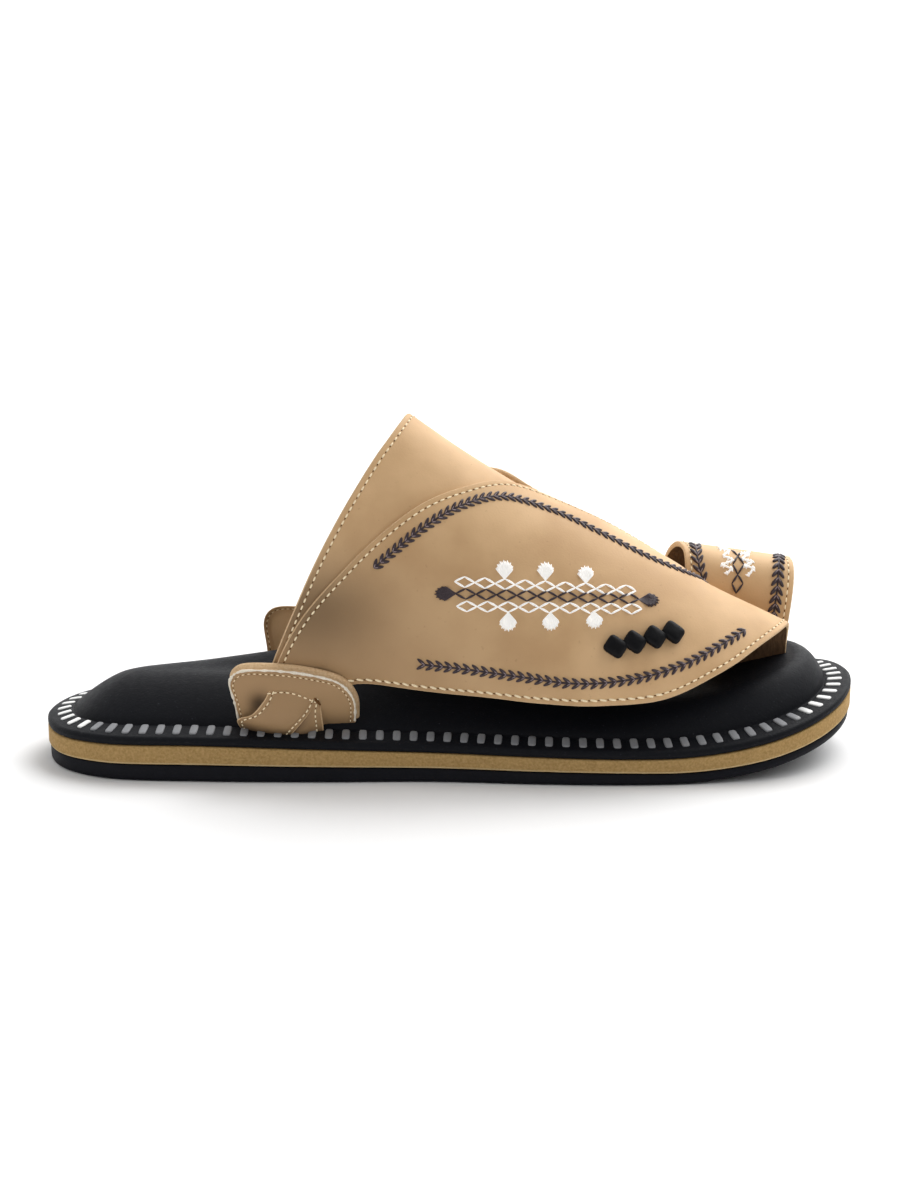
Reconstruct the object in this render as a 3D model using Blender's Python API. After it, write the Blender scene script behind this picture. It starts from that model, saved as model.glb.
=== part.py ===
"""Right-foot arabic sandal: a layered sole, a leather upper, a toe ring and two side ears.

Lengths in the tables are millimetres. x runs from the heel end to the toe, y from the
lateral side (negative) to the medial side (positive), z up from the floor.
"""

import math
from collections import namedtuple

import bmesh
import bpy
from mathutils import Matrix, Vector

for old_object in list(bpy.data.objects):
    bpy.data.objects.remove(old_object, do_unlink=True)

# Driving dimensions
MM = 0.001
GAP = 0.3
SAMPLES_PER_SPAN = 3
TOE_SPRING = 13.6
SPRING_START = 216.0
EDGE_ROUNDING = 0.6
TREAD_INSET = 2.0
TREAD_ROUNDING = 1.6
LIP_HEIGHT = 3.0
FLANGE_WIDTH = 9.5
FLANGE_RISE = 1.9
DOME_ROUNDNESS = 0.8
ARCH_RISE = 12.0
ARCH_CENTRE = 108.0
ARCH_SPREAD = 36.0
ARCH_INNER = -5.0
ARCH_OUTER = 22.0
LEATHER = 2.0
LAYER_STEP = 1.2
LAST_BASE = 12.0
CROSSING_END = (222.0, 238.0)
RING_WALL = 2.0
RING_FOOT = 14.5
RING_TUCK = 2.0
RING_SQUARENESS = 2.6
EAR_PLY = 1.5
EAR_LEAN = 2.0
EAR_FLOOR = 16.8
EAR_CLEARANCE = 0.4
EAR_FRONT_WIDTH = 0.975
EAR_FRONT_HEIGHT = 0.915
MEDIAL_PANEL_SHIFT = 9.5
MEDIAL_EAR_HEIGHT = 1.23
MEDIAL_EAR_SHIFT = 5.5
KNOT_PLY = 1.2
BEAD_WIDTH = 4.95
BEAD_HEIGHT = 5.85
BEAD_DEPTH = 3.0
BEAD_BEVEL = 1.1
BEAD_TURN = math.radians(27)
CUTTER_DEPTH = 6.0

# Sole sections: outline each side, layer thicknesses, padding height and its shoulder
SoleRow = namedtuple("SoleRow", "x lateral medial outsole midsole dome shoulder")
HEEL_END = (0.0, -0.8)
TOE_END = (291.0, 10.0)
SOLE = [
    SoleRow(7, -21.5, 20.0, 5.4, 6.8, 8.8, 12.0),
    SoleRow(24, -33.2, 31.5, 5.8, 6.9, 8.8, 12.0),
    SoleRow(60, -37.1, 35.0, 6.0, 7.0, 8.8, 11.5),
    SoleRow(100, -37.8, 36.0, 5.5, 6.4, 9.0, 11.0),
    SoleRow(140, -37.4, 39.5, 5.0, 5.7, 9.0, 12.0),
    SoleRow(175, -40.0, 47.0, 4.6, 5.3, 9.2, 16.0),
    SoleRow(205, -41.0, 53.0, 4.3, 5.1, 9.6, 15.0),
    SoleRow(235, -39.0, 54.0, 3.8, 5.7, 11.0, 13.0),
    SoleRow(260, -33.5, 51.0, 3.5, 6.3, 13.0, 11.0),
    SoleRow(277, -22.5, 43.0, 3.3, 6.7, 12.8, 10.0),
    SoleRow(287, -8.0, 30.0, 3.2, 6.9, 12.5, 10.0),
]

# Foot tunnel under the straps: its bases, its ridge and the ridge's height
LastRow = namedtuple("LastRow", "x lateral ridge medial thong top")
LAST = [
    LastRow(70, -28.0, 3.0, 26.0, 26.0, 158.0),
    LastRow(90, -28.0, 4.0, 26.0, 26.0, 146.5),
    LastRow(110, -28.0, 5.0, 26.0, 26.0, 134.0),
    LastRow(130, -30.0, 5.5, 29.5, 29.5, 120.2),
    LastRow(150, -33.5, 6.5, 34.5, 34.5, 106.1),
    LastRow(175, -36.5, 7.0, 40.0, 40.0, 90.8),
    LastRow(200, -38.0, 6.5, 44.0, 42.5, 78.2),
    LastRow(225, -36.0, 4.5, 42.5, 23.0, 64.0),
    LastRow(240, -33.0, 2.5, 41.0, 11.0, 55.2),
    LastRow(255, -29.0, 1.0, 40.0, 8.5, 47.5),
    LastRow(272, -24.0, 0.0, 39.0, 8.5, 39.0),
]

# Instep panel: rear and front edge at each angle up the tunnel, 90 degrees at the ridge
PanelRow = namedtuple("PanelRow", "angle rear front")
PANEL = [
    PanelRow(0, 74.5, 105.0),
    PanelRow(12, 84.2, 111.0),
    PanelRow(22, 92.7, 121.0),
    PanelRow(45, 110.6, 152.0),
    PanelRow(63, 121.0, 175.0),
    PanelRow(77, 127.6, 194.0),
    PanelRow(90, 130.2, 203.0),
]

# Leaf straps: place and angle of the low and the high edge, from the ear to the toes
LeafRow = namedtuple("LeafRow", "low_x low_angle high_x high_angle")
LEAF_BACK = [
    LeafRow(109.0, 0.0, 77.0, 0.0),
    LeafRow(111.5, 6.5, 84.5, 11.0),
    LeafRow(117.0, 11.4, 93.5, 19.0),
    LeafRow(138.0, 11.9, 111.0, 30.3),
    LeafRow(158.0, 12.1, 128.0, 43.2),
    LeafRow(177.0, 12.5, 148.0, 60.5),
    LeafRow(196.0, 13.7, 168.0, 82.0),
]
LATERAL_TIP = [
    LeafRow(217.0, 18.3, 193.0, 93.0),
    LeafRow(232.5, 28.4, 216.0, 100.0),
    LeafRow(246.5, 45.5, 229.0, 112.0),
    LeafRow(259.0, 72.0, 236.0, 130.0),
    LeafRow(266.0, 95.0, 240.0, 152.0),
    LeafRow(267.5, 135.0, 242.0, 168.0),
    LeafRow(267.5, 180.0, 243.0, 180.0),
]
MEDIAL_TIP = [
    LeafRow(212.0, 20.0, 190.0, 95.0),
    LeafRow(221.0, 40.0, 206.0, 100.0),
    LeafRow(225.0, 70.0, 217.0, 102.0),
]

# Toe ring: sections from its rear edge to its front edge
RingRow = namedtuple("RingRow", "x centre half_width spring top lean")
RING = [
    RingRow(230.5, 30.5, 15.8, 47.0, 70.0, 0.0),
    RingRow(250.0, 29.5, 15.0, 46.5, 67.6, 1.0),
    RingRow(271.0, 28.5, 13.8, 46.0, 64.7, 2.5),
]

# Ear outline seen from the side, with heights above the ear's floor
RimPoint = namedtuple("RimPoint", "x z")
EAR_RIM = [
    RimPoint(72.5, -3.0),
    RimPoint(70.6, 11.0),
    RimPoint(69.4, 20.0),
    RimPoint(72.3, 23.9),
    RimPoint(83.0, 24.9),
    RimPoint(98.0, 22.8),
    RimPoint(109.0, 18.5),
    RimPoint(113.6, 11.5),
    RimPoint(112.5, -3.0),
]

# Knot band over the ear: left and right edge of each section and how far it lifts
BandRow = namedtuple("BandRow", "left_x left_z right_x right_z lift")
KNOT = [
    BandRow(82.5, 15.3, 97.6, 13.4, 0.0),
    BandRow(79.8, 12.0, 96.4, 9.8, 0.7),
    BandRow(77.4, 7.8, 93.0, 5.2, 1.3),
    BandRow(73.6, 4.4, 90.0, 1.2, 1.5),
    BandRow(75.0, -2.5, 88.4, -2.5, 1.2),
]
KNOT_TAIL = [
    BandRow(98.4, 11.0, 99.8, 10.8, 0.0),
    BandRow(95.2, 5.8, 100.4, 5.6, 0.2),
    BandRow(91.0, -2.5, 100.8, -2.5, 0.2),
]

# Beads on the lateral strap: place and angle of the first, and the step to the next
BEAD_COUNT = 4
FIRST_BEAD = (201.9, 31.2)
BEAD_STEP = (6.3, 3.47)

# Mesh divisions
PANEL_ROUND = 26
PANEL_ALONG = 8
LEAF_STEPS_PER_ROW = 2
LEAF_ACROSS = 9
RING_ALONG = 6
RING_AROUND = 30
RING_LEG_SHARE = 0.18
EAR_SAMPLES = 4
BAND_ALONG = 8
BAND_ACROSS = 6

# Finishes: base colour and roughness
FINISHES = {
    "black_rubber": ((0.012, 0.012, 0.013), 0.62),
    "tan_foam": ((0.36, 0.21, 0.075), 0.8),
    "black_padding": ((0.010, 0.010, 0.012), 0.55),
    "tan_leather": ((0.50, 0.31, 0.17), 0.7),
    "black_bead": ((0.014, 0.014, 0.016), 0.6),
}


def smooth_value(rows, key, place, column):
    """Value of a table's column at a place along its key column, on a smooth curve."""
    keys = [getattr(row, key) for row in rows]
    values = [getattr(row, column) for row in rows]
    last = len(keys) - 1
    place = min(max(place, keys[0]), keys[last])
    span = max(i for i in range(last) if keys[i] <= place)

    def slope(i):
        before = max(i - 1, 0)
        after = min(i + 1, last)
        return (values[after] - values[before]) / (keys[after] - keys[before])

    width = keys[span + 1] - keys[span]
    t = (place - keys[span]) / width
    from_start = values[span] * (2 * t**3 - 3 * t**2 + 1)
    from_end = values[span + 1] * (3 * t**2 - 2 * t**3)
    bend = slope(span) * (t**3 - 2 * t**2 + t) + slope(span + 1) * (t**3 - t**2)
    return from_start + from_end + bend * width


def row_value(rows, place, column):
    """Value of a table's column at a fractional row number."""
    Numbered = namedtuple("Numbered", "row value")
    numbered = [Numbered(i, getattr(row, column)) for i, row in enumerate(rows)]
    return smooth_value(numbered, "row", place, "value")


def smooth_step(low, high, value):
    """Soft step from 0 at low to 1 at high."""
    t = min(max((value - low) / (high - low), 0.0), 1.0)
    return t * t * (3 - 2 * t)


def mix(a, b, share):
    """Value between a and b."""
    return a + (b - a) * share


def curve_point(stations, knots, share):
    """Point of the middle span of a centripetal curve through four stations."""
    t = mix(knots[1], knots[2], share)
    level = stations
    for pairs in (((0, 1), (1, 2), (2, 3)), ((0, 2), (1, 3)), ((1, 2),)):
        blended = []
        for i, (low, high) in enumerate(pairs):
            weight = (t - knots[low]) / (knots[high] - knots[low])
            blended.append(mix(level[i], level[i + 1], weight))
        level = blended
    return level[0]


def round_curve(points, samples, closed):
    """Centripetal curve through plane points, with samples in each span."""
    count = len(points)
    curve = []
    for i in range(count if closed else count - 1):
        if closed:
            numbers = [j % count for j in range(i - 1, i + 3)]
        else:
            numbers = [min(max(j, 0), count - 1) for j in range(i - 1, i + 3)]
        stations = [Vector(points[j]) for j in numbers]
        knots = [0.0]
        for a, b in zip(stations, stations[1:]):
            knots.append(knots[-1] + math.sqrt(max((b - a).length, 1e-6)))
        curve += [curve_point(stations, knots, k / samples) for k in range(samples)]
    if not closed:
        curve.append(Vector(points[-1]))
    return curve


# Sole outline, its inward directions, and the shift that centres the sandal on its origin
LATERAL_SIDE = [(row.x, row.lateral) for row in SOLE]
MEDIAL_SIDE = [(row.x, row.medial) for row in reversed(SOLE)]
OUTLINE = round_curve([HEEL_END, *LATERAL_SIDE, TOE_END, *MEDIAL_SIDE], SAMPLES_PER_SPAN, True)
INWARD = []
for number in range(len(OUTLINE)):
    along = OUTLINE[(number + 1) % len(OUTLINE)] - OUTLINE[number - 1]
    INWARD.append(Vector((-along.y, along.x)).normalized())
MIDDLE_X = (min(p.x for p in OUTLINE) + max(p.x for p in OUTLINE)) / 2
MIDDLE_Y = (min(p.y for p in OUTLINE) + max(p.y for p in OUTLINE)) / 2


def to_frame(x, y, z):
    """Point in metres, with the origin under the middle of the sandal."""
    return Vector(((x - MIDDLE_X) * MM, (y - MIDDLE_Y) * MM, z * MM))


def sole_rise(x):
    """Toe spring of the sole's underside above the floor."""
    share = max(x - SPRING_START, 0.0) / (TOE_END[0] - SPRING_START)
    return TOE_SPRING * share**2


def sole_value(x, column):
    """Layer thickness of the sole at a place along its length."""
    return smooth_value(SOLE, "x", x, column)


def outsole_top(x):
    return sole_rise(x) + sole_value(x, "outsole")


def midsole_top(x):
    return outsole_top(x) + sole_value(x, "midsole")


def footbed_top(x, y, inset):
    """Height of the footbed: a sloping flange, then the padded dome with its arch."""
    flange = midsole_top(x) + LIP_HEIGHT + FLANGE_RISE * min(inset / FLANGE_WIDTH, 1.0)
    shoulder = min(max((inset - FLANGE_WIDTH) / sole_value(x, "shoulder"), 0.0), 1.0)
    crown = math.sin(shoulder * math.pi / 2) ** DOME_ROUNDNESS
    arch = ARCH_RISE * math.exp(-(((x - ARCH_CENTRE) / ARCH_SPREAD) ** 2))
    arch *= smooth_step(ARCH_INNER, ARCH_OUTER, y)
    return flange + crown * (sole_value(x, "dome") + arch)


def outline_loop(inset, height):
    """Points of the outline moved inwards, each at the height given by x, y and inset."""
    loop = []
    for point, inward in zip(OUTLINE, INWARD):
        moved = point + inward * inset
        loop.append((moved.x, moved.y, height(moved.x, moved.y, max(inset, 0.0))))
    return loop


def finish_object(name, shape, finish):
    """Object made from a bmesh, with its own material and soft shading."""
    bmesh.ops.recalc_face_normals(shape, faces=shape.faces)
    mesh = bpy.data.meshes.new(name)
    shape.to_mesh(mesh)
    shape.free()
    made = bpy.data.objects.new(name, mesh)
    bpy.context.scene.collection.objects.link(made)
    colour, roughness = FINISHES[finish]
    coat = bpy.data.materials.new(name + "_finish")
    coat.use_nodes = True
    shader = coat.node_tree.nodes["Principled BSDF"]
    shader.inputs["Base Color"].default_value = (*colour, 1.0)
    shader.inputs["Roughness"].default_value = roughness
    mesh.materials.append(coat)
    mesh.shade_smooth()
    mesh.set_sharp_from_angle(angle=math.radians(40))
    return made


def outline_loft(name, loops, finish):
    """Closed solid through outline loops, its ends filled by rungs across the sole."""
    shape = bmesh.new()
    rings = [[shape.verts.new(to_frame(*point)) for point in loop] for loop in loops]
    count = len(OUTLINE)
    for low, high in zip(rings, rings[1:]):
        for i in range(count):
            j = (i + 1) % count
            shape.faces.new((low[i], low[j], high[j], high[i]))
    for ring in (rings[0], rings[-1]):
        for i in range(count // 2):
            rung = [ring[i], ring[i + 1], ring[count - i - 1], ring[-i]]
            shape.faces.new(list(dict.fromkeys(rung)))
    return finish_object(name, shape, finish)


def slab(name, inner, outer, finish):
    """Closed wall between two grids of points that have the same rows and columns."""
    shape = bmesh.new()
    walls = []
    for grid in (inner, outer):
        walls.append([[shape.verts.new(to_frame(*point)) for point in row] for row in grid])
    rows = len(inner)
    columns = len(inner[0])
    for wall in walls:
        for i in range(rows - 1):
            for j in range(columns - 1):
                shape.faces.new((wall[i][j], wall[i + 1][j], wall[i + 1][j + 1], wall[i][j + 1]))
    rim = [(0, j) for j in range(columns)]
    rim += [(i, columns - 1) for i in range(1, rows)]
    rim += [(rows - 1, j) for j in range(columns - 2, -1, -1)]
    rim += [(i, 0) for i in range(rows - 2, 0, -1)]
    for (i, j), (k, m) in zip(rim, rim[1:] + rim[:1]):
        shape.faces.new((walls[0][i][j], walls[0][k][m], walls[1][k][m], walls[1][i][j]))
    return finish_object(name, shape, finish)


def helper(made):
    """Marks an object that only shapes others."""
    made.hide_render = True
    made.display_type = "WIRE"
    return made


def combine(made, other, operation):
    """Adds a Boolean of another object to an object."""
    step = made.modifiers.new(operation.lower() + "_" + other.name, "BOOLEAN")
    step.operation = operation
    step.object = other
    step.solver = "EXACT"


def make_outsole():
    """Black outsole with a rounded lower edge."""
    loops = [
        outline_loop(TREAD_INSET, lambda x, y, d: sole_rise(x)),
        outline_loop(TREAD_INSET / 3, lambda x, y, d: sole_rise(x) + TREAD_ROUNDING / 3),
        outline_loop(EDGE_ROUNDING, lambda x, y, d: sole_rise(x) + TREAD_ROUNDING),
        outline_loop(EDGE_ROUNDING, lambda x, y, d: outsole_top(x)),
    ]
    return outline_loft("outsole", loops, "black_rubber")


def make_midsole():
    """Tan foam midsole, softly rounded at both edges."""
    loops = [
        outline_loop(EDGE_ROUNDING, lambda x, y, d: outsole_top(x) + GAP),
        outline_loop(0.0, lambda x, y, d: outsole_top(x) + GAP + EDGE_ROUNDING),
        outline_loop(0.0, lambda x, y, d: midsole_top(x) - EDGE_ROUNDING),
        outline_loop(EDGE_ROUNDING, lambda x, y, d: midsole_top(x)),
    ]
    return outline_loft("midsole", loops, "tan_foam")


FLANGE_INSETS = (1.6, 5.5, FLANGE_WIDTH)
DOME_INSETS = (10.1, 11.2, 13.0, 15.5, 19.0, 22.0, 25.0)


def make_footbed():
    """Padded footbed: a lip, a flange that slopes up inwards, and the dome for the foot."""
    loops = [
        outline_loop(EDGE_ROUNDING, lambda x, y, d: midsole_top(x) + GAP),
        outline_loop(0.0, lambda x, y, d: midsole_top(x) + GAP + EDGE_ROUNDING),
        outline_loop(0.0, lambda x, y, d: midsole_top(x) + LIP_HEIGHT - 2 * EDGE_ROUNDING),
        outline_loop(EDGE_ROUNDING, lambda x, y, d: midsole_top(x) + LIP_HEIGHT - GAP),
    ]
    loops += [outline_loop(inset, footbed_top) for inset in FLANGE_INSETS + DOME_INSETS]
    return outline_loft("footbed", loops, "black_padding")


def make_footbed_clearance():
    """The footbed grown by the gap, which trims the foot of every strap."""

    def grown_top(x, y, inset):
        return footbed_top(x, y, inset) + GAP

    loops = [outline_loop(-GAP, lambda x, y, d: midsole_top(x) - CUTTER_DEPTH)]
    loops += [outline_loop(inset, grown_top) for inset in (-GAP,) + FLANGE_INSETS + DOME_INSETS]
    return helper(outline_loft("footbed_clearance", loops, "black_padding"))


def tunnel_point(x, angle, medial):
    """Point on the foot tunnel at an angle in degrees, 0 lateral and 180 medial."""
    ridge = smooth_value(LAST, "x", x, "ridge")
    base = smooth_value(LAST, "x", x, "lateral" if angle < 90 else medial)
    top = smooth_value(LAST, "x", x, "top")
    turn = math.radians(angle)
    y = ridge + (base - ridge) * abs(math.cos(turn))
    return Vector((x, y, LAST_BASE + (top - LAST_BASE) * math.sin(turn)))


def tunnel_normal(x, angle, medial):
    """Outward direction of the foot tunnel."""
    along = tunnel_point(x + 1, angle, medial) - tunnel_point(x - 1, angle, medial)
    around = tunnel_point(x, angle + 1, medial) - tunnel_point(x, angle - 1, medial)
    return along.cross(around).normalized()


def tunnel_layer(x, angle, out, medial):
    """Point of a layer that lies a distance out from the foot tunnel."""
    return tunnel_point(x, angle, medial) + tunnel_normal(x, angle, medial) * out


def panel_places():
    """Grid of place and angle over the instep panel."""
    grid = []
    for i in range(PANEL_ROUND + 1):
        angle = 180 * i / PANEL_ROUND
        height = min(angle, 180 - angle)
        rear = smooth_value(PANEL, "angle", height, "rear")
        front = smooth_value(PANEL, "angle", height, "front")
        if angle > 90:
            rear += MEDIAL_PANEL_SHIFT * math.sin(math.radians(2 * height))
        grid.append([(mix(rear, front, j / PANEL_ALONG), angle) for j in range(PANEL_ALONG + 1)])
    return grid


def leaf_places(rows):
    """Grid of place and angle over a leaf strap, across from its low to its high edge."""
    grid = []
    for i in range((len(rows) - 1) * LEAF_STEPS_PER_ROW + 1):
        row = i / LEAF_STEPS_PER_ROW
        low_x, low_angle, high_x, high_angle = (row_value(rows, row, c) for c in LeafRow._fields)
        line = []
        for j in range(LEAF_ACROSS + 1):
            share = j / LEAF_ACROSS
            line.append((mix(low_x, high_x, share), mix(low_angle, high_angle, share)))
        grid.append(line)
    return grid


def tunnel_slab(name, places, inner, outer, medial):
    """Leather wall over a grid of places, between two distances out from the tunnel."""
    walls = []
    for out in (inner, outer):
        walls.append([[tunnel_layer(x, a, out(x, a), medial) for x, a in line] for line in places])
    return slab(name, walls[0], walls[1], "tan_leather")


def lateral_outer(x, angle):
    """Outer face of the lateral leaf, which climbs over the medial leaf at the ridge."""
    crossing = smooth_step(55, 88, angle) * (1 - smooth_step(*CROSSING_END, x))
    return LAYER_STEP * (1 + crossing) + LEATHER


def make_upper(clearance):
    """Instep panel and both leaf straps joined, open at heel, toe and underneath."""

    def skin(x, angle):
        return 0.0

    def panel_outer(x, angle):
        return LEATHER

    def leaf_inner(x, angle):
        return LAYER_STEP

    def leaf_outer(x, angle):
        return LAYER_STEP + LEATHER

    medial_places = []
    for line in leaf_places(LEAF_BACK + MEDIAL_TIP):
        medial_places.append([(x, 180 - a) for x, a in line])
    lateral_places = leaf_places(LEAF_BACK + LATERAL_TIP)
    upper = tunnel_slab("upper", panel_places(), skin, panel_outer, "medial")
    medial = tunnel_slab("leaf_medial", medial_places, leaf_inner, leaf_outer, "medial")
    lateral = tunnel_slab("leaf_lateral", lateral_places, leaf_inner, lateral_outer, "thong")
    combine(upper, helper(medial), "UNION")
    combine(upper, helper(lateral), "UNION")
    combine(upper, clearance, "DIFFERENCE")
    return upper


def ring_point(along, around, inward):
    """Point of the toe ring: two legs and a squarish arch, moved in by a distance."""
    x, centre, half_width, spring, top, lean = (row_value(RING, along, c) for c in RingRow._fields)
    half_width -= inward
    top -= inward
    near = min(around, 1 - around)
    side = -1 if around < 0.5 else 1
    if near < RING_LEG_SHARE:
        drop = 1 - near / RING_LEG_SHARE
        y = centre + side * (half_width - RING_TUCK * drop**2)
        z = mix(spring, RING_FOOT, drop)
    else:
        turn = math.pi / 2 * (near - RING_LEG_SHARE) / (0.5 - RING_LEG_SHARE)
        y = centre + side * half_width * math.cos(turn) ** (2 / RING_SQUARENESS)
        z = spring + (top - spring) * math.sin(turn) ** (2 / RING_SQUARENESS)
    return (x - lean * (top - z) / (top - RING_FOOT), y, z)


def make_toe_ring(clearance):
    """Band that arches over the big toe and goes down into the footbed on both sides."""
    walls = []
    for inward in (RING_WALL, 0.0):
        wall = []
        for i in range(RING_ALONG + 1):
            along = (len(RING) - 1) * i / RING_ALONG
            wall.append([ring_point(along, j / RING_AROUND, inward) for j in range(RING_AROUND + 1)])
        walls.append(wall)
    ring = slab("toe_ring", walls[0], walls[1], "tan_leather")
    combine(ring, clearance, "DIFFERENCE")
    return ring


def ear_place(side, x, height, depth):
    """Point of an ear: height above its floor, depth outwards from its back face."""
    base = "lateral" if side < 0 else "medial"
    back = smooth_value(LAST, "x", LAST[1].x, base) + side * (LAYER_STEP + LEATHER + EAR_CLEARANCE)
    stretch = 1.0 if side < 0 else MEDIAL_EAR_HEIGHT
    shift = 0.0 if side < 0 else MEDIAL_EAR_SHIFT
    lean = EAR_LEAN * max(height, 0.0) / EAR_RIM[4].z
    return (x + shift, back + side * (depth + lean), EAR_FLOOR + stretch * height)


def make_ear(name, side, clearance):
    """Ear of two plies, the front one cut smaller, standing on the flange."""
    rim = round_curve([(point.x, point.z) for point in EAR_RIM], EAR_SAMPLES, False)
    left = min(point.x for point in rim)
    small = [Vector((mix(left, p.x, EAR_FRONT_WIDTH), p.y * EAR_FRONT_HEIGHT)) for p in rim]
    plies = [(rim, 0.0), (rim, EAR_PLY), (small, EAR_PLY + GAP), (small, 2 * EAR_PLY)]
    shape = bmesh.new()
    rings = []
    for outline, depth in plies:
        rings.append([shape.verts.new(to_frame(*ear_place(side, p.x, p.y, depth))) for p in outline])
    count = len(rim)
    for low, high in zip(rings, rings[1:]):
        for i in range(count):
            j = (i + 1) % count
            shape.faces.new((low[i], low[j], high[j], high[i]))
    for ring in (rings[0], rings[-1]):
        for i in range((count - 1) // 2):
            face = [ring[i], ring[i + 1], ring[count - i - 2], ring[count - i - 1]]
            shape.faces.new(list(dict.fromkeys(face)))
    ear = finish_object(name, shape, "tan_leather")
    combine(ear, clearance, "DIFFERENCE")
    return ear


def make_band(name, side, rows, clearance):
    """Strip over an ear's front: flat behind and crowned in front."""
    back = 2 * EAR_PLY + GAP
    walls = [[], []]
    for i in range(BAND_ALONG + 1):
        row = (len(rows) - 1) * i / BAND_ALONG
        left_x, left_z, right_x, right_z, lift = (row_value(rows, row, c) for c in BandRow._fields)
        lines = [[], []]
        for j in range(BAND_ACROSS + 1):
            share = j / BAND_ACROSS
            x = mix(left_x, right_x, share)
            z = mix(left_z, right_z, share)
            crown = lift * math.sin(math.pi * mix(0.2, 0.8, share))
            lines[0].append(ear_place(side, x, z, back))
            lines[1].append(ear_place(side, x, z, back + KNOT_PLY + crown))
        for wall, line in zip(walls, lines):
            wall.append(line)
    band = slab(name, walls[0], walls[1], "tan_leather")
    combine(band, clearance, "DIFFERENCE")
    return band


def make_bead(number):
    """Rounded square stud sewn flat on the lateral strap, turned on its corner."""
    x = FIRST_BEAD[0] + BEAD_STEP[0] * number
    angle = FIRST_BEAD[1] + BEAD_STEP[1] * number
    out = tunnel_normal(x, angle, "thong")
    along = (tunnel_point(x + 1, angle, "thong") - tunnel_point(x - 1, angle, "thong")).normalized()
    up = out.cross(along)
    seat = tunnel_layer(x, angle, LAYER_STEP + LEATHER + GAP + BEAD_DEPTH / 2, "thong")
    frame = Matrix((along, up, out)).transposed().to_4x4()
    turn = Matrix.Rotation(-BEAD_TURN, 4, "Z")
    size = Matrix.Diagonal((BEAD_WIDTH * MM, BEAD_HEIGHT * MM, BEAD_DEPTH * MM, 1.0))
    shape = bmesh.new()
    bmesh.ops.create_cube(shape, size=1.0, matrix=size)
    edges = list(shape.edges)
    bmesh.ops.bevel(shape, geom=edges, offset=BEAD_BEVEL * MM, segments=2, profile=0.5, affect="EDGES")
    bmesh.ops.transform(shape, matrix=Matrix.Translation(to_frame(*seat)) @ frame @ turn, verts=shape.verts)
    return finish_object("bead_" + str(number + 1), shape, "black_bead")


def build_sandal():
    """Every piece of the sandal, parented to one empty."""
    clearance = make_footbed_clearance()
    pieces = [make_outsole(), make_midsole(), make_footbed(), clearance]
    pieces += [make_upper(clearance), make_toe_ring(clearance)]
    for side, word in ((-1, "lateral"), (1, "medial")):
        pieces.append(make_ear("ear_" + word, side, clearance))
        pieces.append(make_band("ear_knot_" + word, side, KNOT, clearance))
        pieces.append(make_band("ear_tail_" + word, side, KNOT_TAIL, clearance))
    pieces += [make_bead(number) for number in range(BEAD_COUNT)]
    root = bpy.data.objects.new("sandal", None)
    bpy.context.scene.collection.objects.link(root)
    for piece in pieces:
        piece.parent = root


build_sandal()
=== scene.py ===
# %% [markdown]
# # An arabic sandal for the right foot
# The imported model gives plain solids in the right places. This lesson dresses them as leather, foam,
# rubber and thread. Every length below is in millimetres, measured from the heel end along x, from
# the middle of the heel towards the big toe's side along y, and up from the floor along z.

import math
from collections import namedtuple

import bmesh
import bpy
import numpy as np
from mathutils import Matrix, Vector


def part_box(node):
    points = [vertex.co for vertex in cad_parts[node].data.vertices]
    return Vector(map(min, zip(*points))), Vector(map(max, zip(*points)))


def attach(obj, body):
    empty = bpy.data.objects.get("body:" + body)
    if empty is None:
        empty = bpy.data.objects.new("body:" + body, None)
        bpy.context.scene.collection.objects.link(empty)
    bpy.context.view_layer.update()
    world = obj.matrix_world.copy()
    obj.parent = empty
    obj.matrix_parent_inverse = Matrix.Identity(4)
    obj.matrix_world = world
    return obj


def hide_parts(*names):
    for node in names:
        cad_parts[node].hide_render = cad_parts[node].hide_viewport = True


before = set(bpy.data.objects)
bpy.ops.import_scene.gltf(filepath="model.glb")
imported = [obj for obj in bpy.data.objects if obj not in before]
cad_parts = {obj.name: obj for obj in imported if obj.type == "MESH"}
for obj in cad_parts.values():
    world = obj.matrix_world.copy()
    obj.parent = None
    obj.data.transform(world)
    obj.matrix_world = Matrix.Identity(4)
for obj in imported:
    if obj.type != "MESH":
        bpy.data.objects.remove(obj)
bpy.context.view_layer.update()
MM = 0.001
print("pieces to dress:", ", ".join(sorted(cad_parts)))

# %% [markdown]
# ## Smooth tables
# A shoemaker's last is known by a few sections. A short table holds each section, and a smooth curve
# runs through its rows. Numpy works out thousands of places at once, so dense surfaces stay quick.


# %% Curves through tables
def hermite(keys, values, place):
    """Values at places along a smooth curve through keyed values."""
    keys = np.asarray(keys, float)
    values = np.asarray(values, float)
    numbers = np.arange(len(keys))
    before = np.maximum(numbers - 1, 0)
    after = np.minimum(numbers + 1, len(keys) - 1)
    slopes = (values[after] - values[before]) / (keys[after] - keys[before])
    place = np.clip(place, keys[0], keys[-1])
    span = np.clip(np.searchsorted(keys, place, side="right") - 1, 0, len(keys) - 2)
    width = keys[span + 1] - keys[span]
    t = (place - keys[span]) / width
    ends = values[span] * (2 * t**3 - 3 * t**2 + 1) + values[span + 1] * (3 * t**2 - 2 * t**3)
    bend = slopes[span] * (t**3 - 2 * t**2 + t) + slopes[span + 1] * (t**3 - t**2)
    return ends + bend * width


def column(rows, name):
    """One named column of a table."""
    return [getattr(row, name) for row in rows]


def smooth(rows, key, name, place):
    """A table's column at places along its key column."""
    return hermite(column(rows, key), column(rows, name), place)


def row_value(rows, name, row):
    """A table's column at fractional row numbers."""
    return hermite(range(len(rows)), column(rows, name), row)


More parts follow.
